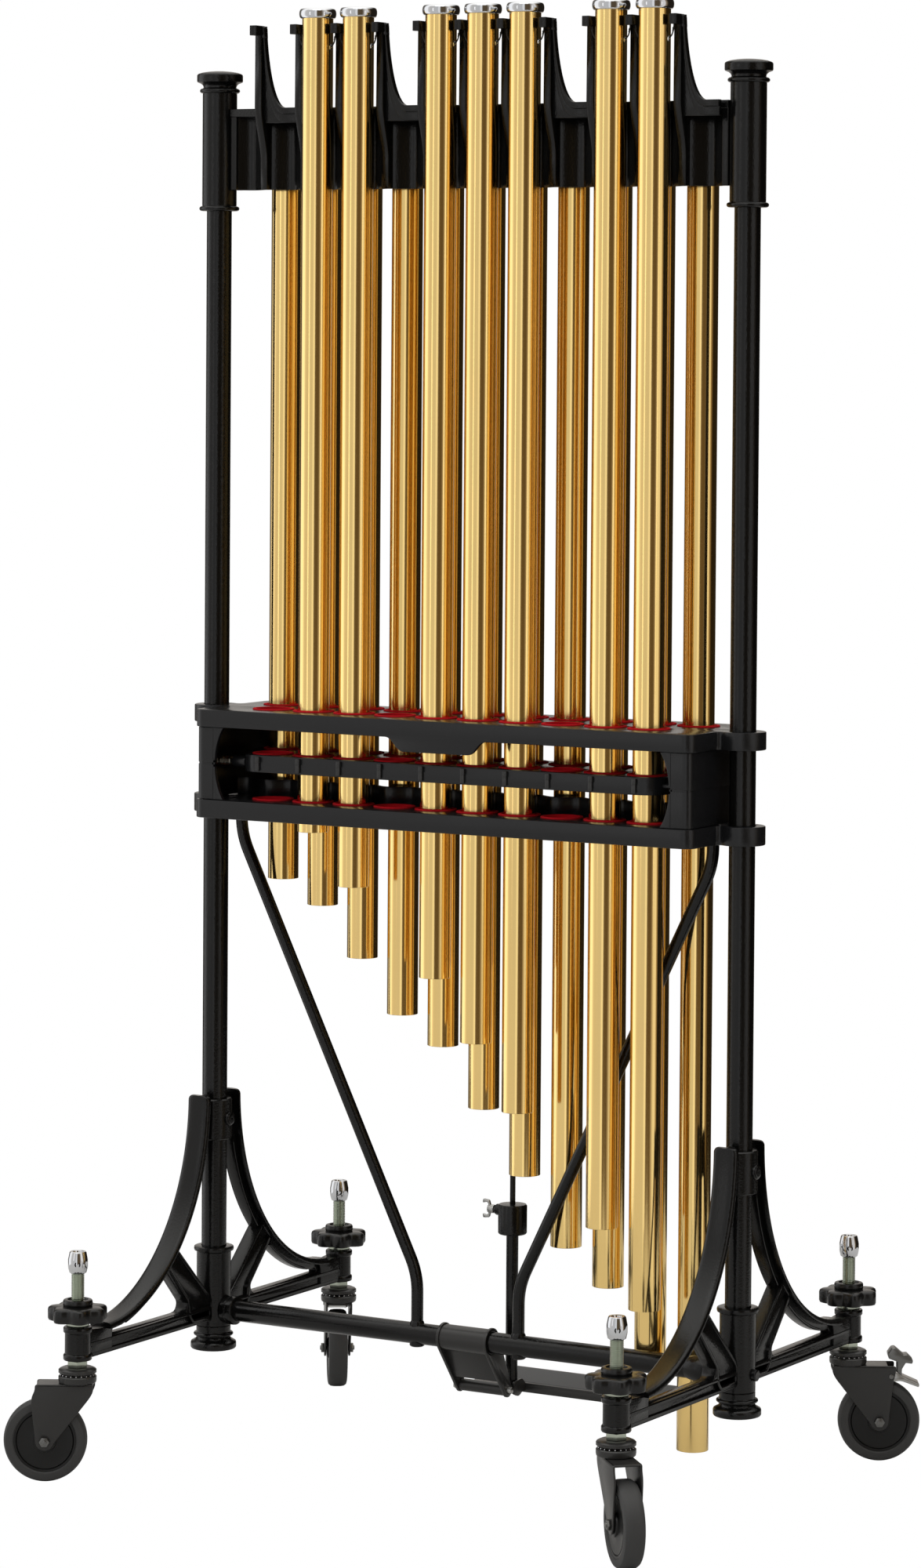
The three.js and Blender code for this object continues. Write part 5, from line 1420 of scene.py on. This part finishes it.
@dataclass
class LegCasting:
    """One cast leg: a swept arch on each side of the post's hub."""

    side: Side
    arch_centre: tuple[float, float] = (260.0, 430.0)
    arch_size: tuple[float, float] = (222.0, 248.0)
    half_width: float = 15.4
    clamp_z: float = 398.0

    def _arch(self, inset: float, start: float, end: float, steps: int) -> list[Point]:
        """Points of the arch's quarter ellipse, towards -Y.

        Args:
            inset: How far outside the arch they lie.
            start: The first angle, in radians.
            end: The last angle.
            steps: How many straight steps.

        Returns:
            The points.
        """
        points = []
        for i in range(steps + 1):
            turn = start + (end - start) * i / steps
            y = -self.arch_centre[0] + (self.arch_size[0] + inset) * math.cos(turn)
            z = self.arch_centre[1] - (self.arch_size[1] + inset) * math.sin(turn)
            points.append((y, z))
        return points

    def build(self) -> None:
        """Makes the casting and its bolts."""
        at, out, clamp = self.side.post, self.side.value, self.clamp_z
        leg = Builder("leg casting " + self.side.word, POWDER, at)
        for mirror in (1, -1):
            leg.at = at @ Matrix.Scale(mirror, 4, (0, 1, 0))
            start = len(leg.mesh.faces)
            self._half(leg)
            if mirror < 0:
                leg.mesh.faces.ensure_lookup_table()
                bmesh.ops.reverse_faces(leg.mesh, faces=leg.mesh.faces[start:])
        leg.at = at
        hub = [(POST_BORE, 138.2), (20.6, 138.2), (21.4, 139.2), (21.4, 230.6), (22.4, 231.6)]
        hub += [(24.4, 232.4)]
        hub += [(24.9, 234.8), (24.4, 237.2), (22.6, 237.9), (POST_BORE, 237.9)]
        collar = [(POST_BORE, 372.2), (20.8, 372.2), (21.9, 373.4), (21.9, 421.4), (20.6, 422.9)]
        collar.append((POST_BORE, 422.9))
        leg.lathe(hub, 56, closed=True).lathe(collar, 56, closed=True)
        leg.rod((out * 17, 0, CROSSBAR_Z), (out * 26.4, 0, CROSSBAR_Z), 6.9, 32, 1.0)
        ring = [(12.6, 18), (16.4, 18), (16.8, 23.4), (17.8, 24.2), (17.8, 27.4), (16.9, 28.6)]
        ring += [(12.6, 28.8)]
        leg.lathe(ring, 48, along_x(0, 0, CROSSBAR_Z, -out), True)
        leg.rod((17, 0, clamp), (24.2, 0, clamp), 8.6, 40, 1.2)
        seat = [(4.6, 23.8), (7.2, 23.8), (7.0, 25.2), (6.2, 25.8), (4.6, 25.8)]
        leg.lathe(seat, 40, along_x(0, 0, clamp), True).make("frame", "leg_" + self.side.word)
        bolts = Builder("leg bolts " + self.side.word, KNOB, at)
        for z, x in ((CROSSBAR_Z, out * 26.45), (clamp, 25.95)):
            bolts.lathe(oblong(1.6, -1.2, 4.2, 0.0), 24, facing_x(x, 0, z, x), True)
        bolts.make("frame", slot="frame")

    def _flange(self, leg: Builder) -> None:
        """The broad outer face of the arch, domed and rounded at its top.

        Args:
            leg: The piece that it joins.
        """
        rise = self.arch_size[1]
        angles = [math.asin(6 * (1 - math.cos(math.pi / 2 * i / 6)) / rise) for i in range(7)]
        angles += [angles[-1] + (1.52 - angles[-1]) * i / 44 for i in range(1, 45)]
        rings = []
        for turn in angles:
            w = self.half_width - 6 + math.sqrt(max(0.0, 36 - (6 - min(rise * math.sin(turn), 6)) ** 2))
            outer = Vector(self._arch(-1.4, turn, turn, 1)[0])
            inner = Vector(self._arch(6.0, turn, turn, 1)[0])
            section = [(-w, 1.0), (-w, 0.62), (-w + 0.9, 0.34), (-w + 2.6, 0.14), (-w + 5.2, 0.04)]
            section += [(-w / 3, 0.0)]
            rings.append([Vector((x, *(outer + (inner - outer) * d))) for x, d in mirrored(section)])
        middle = [sum(ring, Vector()) / len(ring) for ring in (rings[0], rings[-1])]
        leg.skin([[middle[0]], *rings, [middle[1]]])

    def _rimmed(self, leg: Builder, outline: Sequence[Point], edge: float) -> None:
        """A bar with a raised rim round a sunk face, on both sides.

        Args:
            leg: The piece that it joins.
            outline: The bar's edge.
            edge: How wide the rim is.
        """
        flat = [Vector(p) for p in outline]
        if signed_area(flat) < 0:
            flat.reverse()
        leg.plate(flat, -9.9, 9.9, 1.7, [inset_ring(flat, edge)], SIDE)
        leg.plate(inset_ring(flat, edge * 0.5), -6.6, 6.6, 0.3, at=SIDE)

    def _half(self, leg: Builder) -> None:
        """One half of the casting, towards -Y.

        Args:
            leg: The piece that it joins.
        """
        self._flange(leg)
        neck = math.asin(58 / 262)
        web = [(0, 146.2), (-286.4, 146.2), (-286.4, 181.8), *self._arch(2.6, math.pi / 2, 0.02, 40)]
        web += [(-19, 429), (-19, 372.4), *self._arch(14, neck, 0.78, 14), (-19.5, 177), (0, 177)]
        window = [(-67, 166), *rounded([(-228, 166), (-234, 170), (-228, 174.3)], 2.0, 3)]
        window += [*self._arch(14, 1.36, 0.91, 14), (-67, 175)]
        leg.plate(web, -4.9, 4.9, 0.6, [window], SIDE)
        for start, end in ((0.24, 0.77), (0.93, 1.33)):
            lip = [*self._arch(11.2, start, end, 20), *self._arch(14.3, end, start, 20)]
            leg.plate(lip, -7.4, 7.4, 1.2, at=SIDE)
        strut = [*self._arch(2.5, 0.91, 0.78, 3), (-21, 178.4), (-16, 172), (-16, 149.3), (-60, 149.3)]
        strut += [(-68, 158), (-70, 168), (-71.5, 179)]
        self._rimmed(leg, rounded(strut, [1, 0, 0, 1, 3, 2, 2, 3, 3, 5, 3], 4), 5.2)
        panel = [(-286, 148), (-286, 181.6), *self._arch(3.0, math.pi / 2, 1.46, 6)]
        panel += [(-235, 176), (-237.5, 170), (-237.5, 150)]
        leg.plate(rounded(panel, [*[0.0] * 9, 2, 3, 1], 5), -9.6, 9.6, 1.4, at=SIDE)
        self._rimmed(leg, rounded(oblong(-286, 146.6, -18, 165.9), [1, 4, 4, 1], 4), 5.4)
        fillet = [*curve([(-86, 165.2), (-70, 165.2), (-71.5, 181)], 10), (-62, 176), (-62, 165.2)]
        leg.plate(fillet, -9.4, 9.4, 1.4, at=SIDE)
        boss = [(8.6, 146.1), (16.4, 146.1), (17.2, 147.2), (17.2, 151.8), (16.4, 153.2), (15.5, 153.8)]
        boss += [(15.4, 178.2), (16.4, 179.0), (17.2, 180.2), (17.2, 184.8), (16.4, 185.9), (8.6, 185.9)]
        leg.lathe(boss, 48, Matrix.Translation((0, -LEG_REACH, 0)), True)


@dataclass
class Caster:
    """One caster with its height spindle, lock knob, fork, wheel and brake."""

    name: str
    x: float
    y: float
    heading: float
    braked: bool = False
    axle_z: float = 50.0
    fork_half: float = 17.1

    @property
    def stand(self) -> Matrix:
        """The place of the spindle's axis on the floor."""
        return Matrix.Translation((self.x, self.y, 0))

    @property
    def swivel(self) -> Matrix:
        """The same place, turned as the fork points."""
        return self.stand @ Matrix.Rotation(math.radians(self.heading), 4, "Z")

    def build(self) -> None:
        """Makes the caster's pieces on their bodies."""
        self._spindle()
        self._knob()
        self._fork()
        self._wheel()
        if self.braked:
            self._brake()

    def _spindle(self) -> None:
        """The threaded spindle with its nut, cap, grub screw and race."""
        body = "spindle_" + self.name
        profile: list[Point] = [(0, 136), (7.9, 136), (7.9, 186)]
        for turn in range(32):
            profile += moved([(7.9, 0), (7.9, 0.35), (6.9, 1.0), (6.9, 1.25)], 0, 187.0 + 2.0 * turn)
        nut = [(0, 137.1), (12.2, 137.1), (12.9, 138.0), (12.9, 144.9), (12.2, 145.6), (0, 145.6)]
        stem = Builder("spindle " + self.name, ZINC, self.stand)
        stem.lathe([*profile, (7.2, 251.5), (0, 251.5)], 40).lathe(nut, 6).make(body, body)
        profile = [(0, 250.6), (9.4, 250.6), (10.4, 251.4), (11.6, 256.4), (11.9, 258.4), (11.9, 266.6)]
        profile += [(11.5, 268.6), (10.2, 275.2), (9.4, 276.3), (7.0, 276.4), (6.2, 275.9)]
        profile += [(5.6, 273.6), (0, 273.4)]
        Builder("spindle cap " + self.name, CHROME, self.stand).lathe(profile, 56).make(body)
        profile = [(0, 0), (3.3, 0), (3.6, 0.3), (3.6, 0.85), (1.9, 0.9), (1.7, 0.3), (0, 0.3)]
        spot = Matrix.Rotation(math.radians(-58), 4, "Z") @ along_x(10.9, 0, 262)
        grub = Builder("grub screw " + self.name, KNOB, self.stand)
        grub.lathe(profile, 24, spot).make(body, slot="frame")
        profile = [(0, 130.2), (21.6, 130.2), (22.8, 131.2), (22.8, 134.4), (21.6, 135.6), (18.6, 136.9)]
        race = Builder("upper race " + self.name, PRESSED, self.stand)
        race.lathe([*profile, (8.2, 136.9), (0, 136.9)], 48).make(body, slot="frame")

    def _knob(self) -> None:
        """The star knob and the washer below it."""
        body = "star_knob_" + self.name
        low, high = 193.2, 210.9
        levels = [(3.2, low), (1.0, low + 0.8), (0, low + 3.2)]
        levels += [(0, high - 4.2), (1.0, high - 1.8), (3.4, high - 0.4)]
        rings = [[Vector((0, 0, low))]]
        for inset, height in (*levels, (12, high)):
            ring = []
            for i in range(112):
                turn = 2 * math.pi * i / 112
                lobe = math.cos(7 * turn)
                radius = 33.4 + 2.8 * lobe - inset - 0.9 * max(0.0, -lobe) ** 2
                ring.append(Vector((radius * math.cos(turn), radius * math.sin(turn), height)))
            rings.append(ring)
        knob = Builder("star knob " + self.name, KNOB, self.stand)
        knob.skin([*rings, [Vector((0, 0, high))]])
        hub = [(8.5, -1), (16.6, -1), (17.8, 1.2), (17.8, 5.6), (16.9, 7.4), (15.2, 8.0), (12.6, 7.9)]
        hub = moved([*hub, (11.8, 6.2), (8.5, 5.8)], 0, high)
        knob.lathe(hub, 48, closed=True).make(body, body)
        ring = [(8.5, 186.5), (13.4, 186.5), (13.9, 187.2), (13.9, 192.9), (8.5, 193.1)]
        Builder("washer " + self.name, ZINC, self.stand).lathe(ring, 40, closed=True).make(body)

    def _fork(self) -> None:
        """The fork with its axle and race balls."""
        body = "fork_" + self.name
        z, w = self.axle_z, self.fork_half
        fork = Builder("fork " + self.name, PRESSED, self.swivel)
        race = [(0, 118.0), (20.4, 118.0), (22.4, 119.6), (22.9, 122.0), (22.9, 126.4)]
        race += [(21.8, 127.6), (0, 128.2)]
        fork.lathe(race, 48)
        fork.plate(rounded(oblong(-19, -w, 48, w), [9, 2, 2, 9], 6), 115.9, 118.6, 0.8)
        reach = 57.8 if self.braked else 49.8
        cheek = [(-20, 118.6), (-20, 108), *arc(TRAIL, z, 10.9, math.pi + 0.25, 2 * math.pi - 0.1, 16)]
        cheek += [(54.8, 101), (reach, 112), (reach, 118.6)]
        cheek = rounded(cheek, [3, 12, 8, *[0.0] * 16, 10, 4, 3], 5)
        for y in (-w, w - 2.5):
            fork.plate(cheek, -y - 2.5, -y, 0.7, [circle(TRAIL, z, 3.9, 20)], FRONT)
        fork.make(body, body)
        axle = Builder("axle " + self.name, BOLT, self.swivel)
        axle.rod((TRAIL, -22.6, z), (TRAIL, 22.4, z), 3.0, 24, 0.6)
        for y in (-21.0, 17.2):
            axle.rod((TRAIL, y, z), (TRAIL, y + 3.8, z), 6.4, 6, 0.8)
        if self.braked:
            x, pin_z = BRAKE_PIN
            axle.rod((x, -18, pin_z), (x, 18, pin_z), 2.9, 20)
        axle.make(body)
        balls = Builder("race balls " + self.name, CHROME, self.swivel)
        for x, y in circle(0, 0, 20.2, 20):
            profile = [(0, -1.1), (0.78, -0.78), (1.1, 0), (0.78, 0.78), (0, 1.1)]
            balls.lathe(profile, 10, Matrix.Translation((x, y, 128.5)))
        balls.make(body, slot="steel")

    def _wheel(self) -> None:
        """The tread and the two discs."""
        body = "wheel_" + self.name
        along = self.swivel @ Matrix.Translation((TRAIL, 0, self.axle_z))
        along = along @ Matrix.Rotation(math.pi / 2, 4, "X")
        profile = [(37.6, -11.0), (39.0, -12.2), (44.0, -12.3), (47.2, -11.4), (49.2, -8.6), (49.9, -4.5)]
        profile += [(49.95, 0), *((r, -z) for r, z in reversed(profile))]
        Builder("tread " + self.name, TREAD, along).lathe(profile, 96, closed=True).make(body, body)
        disc = [(4.4, 13.9), (12.0, 13.9), (13.4, 13.2), (14.0, 11.4), (17.0, 10.8), (31.0, 10.6)]
        disc += [(33.4, 10.9)]
        disc += [(34.2, 10.0), (35.0, 10.9), (37.5, 11.2), (38.0, 10.4), (38.0, 0), (4.4, 0)]
        hub = Builder("wheel disc " + self.name, HUB, along)
        for sign in (-1, 1):
            hub.lathe([(r, z * sign) for r, z in disc], 72, closed=True)
        hub.make(body)

    def _brake(self) -> None:
        """The brake lever and the hooked cover above it."""
        body = "brake_lever_" + self.name
        side = [(-8.8, -3.8), (4, -6.8), (12, -5.8), (33.8, -13.6), (34.8, -10.2), (14, -1.2)]
        side += [(6, 5.8), (-6, 5.8)]
        side = rounded(moved(side, *BRAKE_PIN), [3, 3, 3, 1.5, 1.5, 4, 4, 4])
        top = [(6, 5.8), (-6, 5.8), (-6, 3.6), (5, 3.6), (13, -3.4), (33.6, -13), (34.8, -10.2), (14, -1.2)]
        lever = Builder("brake lever " + self.name, STEEL, self.swivel)
        for low, high in ((-13.9, -11.2), (11.2, 13.9)):
            lever.plate(side, low, high, 0.5, [circle(*BRAKE_PIN, 3.3, 20)], FRONT)
        lever.plate(rounded(moved(top, *BRAKE_PIN), 1.0, 3), -13.6, 13.6, 0.5, at=FRONT).make(body, body)
        hook = [(7.6, -3), (7.6, 17), (-3, 20.8), (-4, 26), (1, 33), (5, 33.5), (15, 25), (20, 25.5)]
        hook += [(27, 18.5), (26, 14.5), (18, 15.5), (13.5, 8), (13, -3)]
        cover = Builder("brake cover " + self.name, BOLT, self.swivel)
        cover.plate(rounded(moved(hook, *BRAKE_PIN), 1.2, 3), -10.5, 10.5, 0.6, at=FRONT).make(body)


@dataclass
class Studio:
    """The camera, the light and the floor."""

    lens: float = 115.08
    shift: float = -0.1804
    eye: tuple[float, float, float] = (3.034, -5.213, 1.383)
    yaw: float = 30.347
    pitch: float = 1.977
    roll: float = 0.40
    front: float = 59.65
    reach: float = 1.6

    def build(self) -> None:
        """Sets up everything that isn't the object."""
        self._camera()
        self._world()
        self._lamps()
        self._floor()
        view = bpy.context.scene.view_settings
        view.view_transform = "Standard"
        view.look = "None"
        view.exposure = 0.0
        view.gamma = 1.0

    def _camera(self) -> None:
        """Looks at the object as the photograph does."""
        data = bpy.data.cameras.new("camera")
        data.sensor_fit = "VERTICAL"
        data.sensor_height = 36.0
        data.lens = self.lens
        data.shift_y = self.shift
        data.clip_end = 60.0
        camera = linked("camera", data)
        turn = Matrix.Rotation(math.radians(self.yaw), 4, "Z")
        turn = turn @ Matrix.Rotation(math.pi / 2 - math.radians(self.pitch), 4, "X")
        turn = turn @ Matrix.Rotation(math.radians(self.roll), 4, "Z")
        camera.matrix_world = Matrix.Translation(self.eye) @ turn
        bpy.context.scene.camera = camera

    def _bands(self, graph: Graph, direction: bpy.types.Node) -> bpy.types.Node:
        """Bright and dark bands round the object, as [degrees, level, warmth].

        Args:
            graph: The world's tree.
            direction: The node that splits the direction looked in.

        Returns:
            The ramp that holds the bands.
        """
        angle = graph.node("ShaderNodeMath", operation="ARCTAN2")
        graph.feed(angle.inputs[0], direction.outputs[1])
        graph.feed(angle.inputs[1], direction.outputs[0])
        turned = graph.out(angle) / (2 * math.pi) + (self.front / 360 + 0.5)
        wrapped = graph.node("ShaderNodeMath", operation="FRACT")
        graph.feed(wrapped.inputs[0], turned)
        ramp = graph.node("ShaderNodeValToRGB")
        graph.feed(ramp.inputs[0], wrapped.outputs[0])
        points = ramp.color_ramp.elements
        for degrees, level, warm in (
            (-180, 0.7, 0.2), (-166, 0.6, 0.2), (-156, 0.08, 0.3), (-130, 0.25, 0.2), (-119, 1.35, 0.0),
            (-93, 1.35, 0.0), (-83, 0.86, 0.1), (-72, 0.72, 0.1), (-21, 0.7, 0.0), (-16, 1.05, 0.0),
            (-8, 1.05, 0.0), (-3, 0.13, 0.9), (25, 0.12, 0.9), (36, 0.5, 0.3), (47, 0.9, 0.1),
            (62, 0.95, 0.1), (68, 0.4, 0.7), (78, 0.16, 0.9), (86, 0.02, 0.9), (156, 0.02, 0.5),
            (168, 0.6, 0.3), (180, 0.7, 0.2),
        ):
            place = (degrees + 180) / 360
            stop = points[0] if place == 0 else points[-1] if place == 1 else points.new(place)
            stop.position = place
            stop.color = (level, level * (1 - 0.3 * warm), level * (1 - 0.62 * warm), 1)
        return ramp

    def _world(self) -> None:
        """What the object mirrors, behind a white ground."""
        world = bpy.data.worlds.new("studio")
        bpy.context.scene.world = world
        world.use_nodes = True
        graph = Graph(world.node_tree)
        parts = graph.node("ShaderNodeSeparateXYZ")
        graph.feed(parts.inputs[0], graph.node("ShaderNodeTexCoord").outputs["Generated"])
        ramp = self._bands(graph, parts)
        rise = graph.node("ShaderNodeMapRange", interpolation_type="SMOOTHSTEP")
        graph.feed(rise.inputs["Value"], parts.outputs[2])
        for name, value in (("From Min", 0.5), ("From Max", 0.9), ("To Min", 0.0), ("To Max", 1.0)):
            rise.inputs[name].default_value = value
        sky = graph.node("ShaderNodeMix", data_type="RGBA")
        graph.feed(sky.inputs["Factor"], rise.outputs[0])
        graph.feed(sky.inputs[6], ramp.outputs[0])
        sky.inputs[7].default_value = (1.7, 1.68, 1.62, 1)
        path = graph.node("ShaderNodeLightPath")
        plain = graph.node("ShaderNodeMix", data_type="RGBA")
        graph.feed(plain.inputs["Factor"], path.outputs["Is Camera Ray"])
        graph.feed(plain.inputs[6], sky.outputs[2])
        plain.inputs[7].default_value = (1, 1, 1, 1)
        graph.feed(world.node_tree.nodes["Background"].inputs["Color"], plain.outputs[2])

    def _lamps(self) -> None:
        """Two upright strips of light and a panel above."""
        for name, place, size, power in (
            ("left strip", (-1.6, -4.2, 1.6), (0.5, 2.6), 3.5),
            ("right strip", (3.4, -1.2, 1.5), (0.4, 2.4), 2.0),
            ("top panel", (0.6, -1.8, 3.8), (2.4, 1.2), 6.0),
        ):
            light = bpy.data.lights.new(name, "AREA")
            light.shape = "RECTANGLE"
            light.size, light.size_y = size
            light.energy = power
            aim = Vector((0, 0, 0.9)) - Vector(place)
            turn = aim.to_track_quat("-Z", "Y").to_matrix().to_4x4()
            linked(name, light).matrix_world = Matrix.Translation(place) @ turn

    def _floor(self) -> None:
        """A pale floor that the camera sees as white."""
        data = bpy.data.meshes.new("floor")
        edge = oblong(-self.reach, -self.reach, self.reach, self.reach)
        data.from_pydata([(x, y, 0) for x, y in edge], [], [(0, 1, 2, 3)])
        floor = linked("floor", data)
        made = bpy.data.materials.new("pale floor")
        made.use_nodes = True
        graph = Graph(made.node_tree)
        shader = made.node_tree.nodes["Principled BSDF"]
        place = graph.out(graph.node("ShaderNodeTexCoord"), "Object")
        speck = graph.noise(place, (3, 3, 3), 3.0)
        graph.feed(shader.inputs["Base Color"], graph.grey(0.56 + speck * 0.04))
        shader.inputs["Roughness"].default_value = 0.9
        path = graph.node("ShaderNodeLightPath")
        mix = graph.node("ShaderNodeMixShader")
        graph.feed(mix.inputs[0], path.outputs["Is Camera Ray"])
        graph.feed(mix.inputs[1], shader.outputs[0])
        graph.feed(mix.inputs[2], graph.node("ShaderNodeEmission").outputs[0])
        graph.feed(made.node_tree.nodes["Material Output"].inputs[0], mix.outputs[0])
        data.materials.append(made)


def main() -> None:
    """Builds the whole scene."""
    repeater = Repeater("Repeat at points")
    assemblies = [Studio(), Chimes(), Posts(), HangerRail(), DamperBox(repeater), LowerFrame(), PedalSet()]
    assemblies += [LegCasting(side) for side in Side]
    assemblies += [
        Caster("front_left", -POST_X, -LEG_REACH, 210.0),
        Caster("front_right", POST_X, -LEG_REACH, -46.0),
        Caster("rear_left", -POST_X, LEG_REACH, 124.0, braked=True),
        Caster("rear_right", POST_X, LEG_REACH, 30.0, braked=True),
    ]
    for assembly in assemblies:
        assembly.build()


if __name__ == "__main__":
    main()
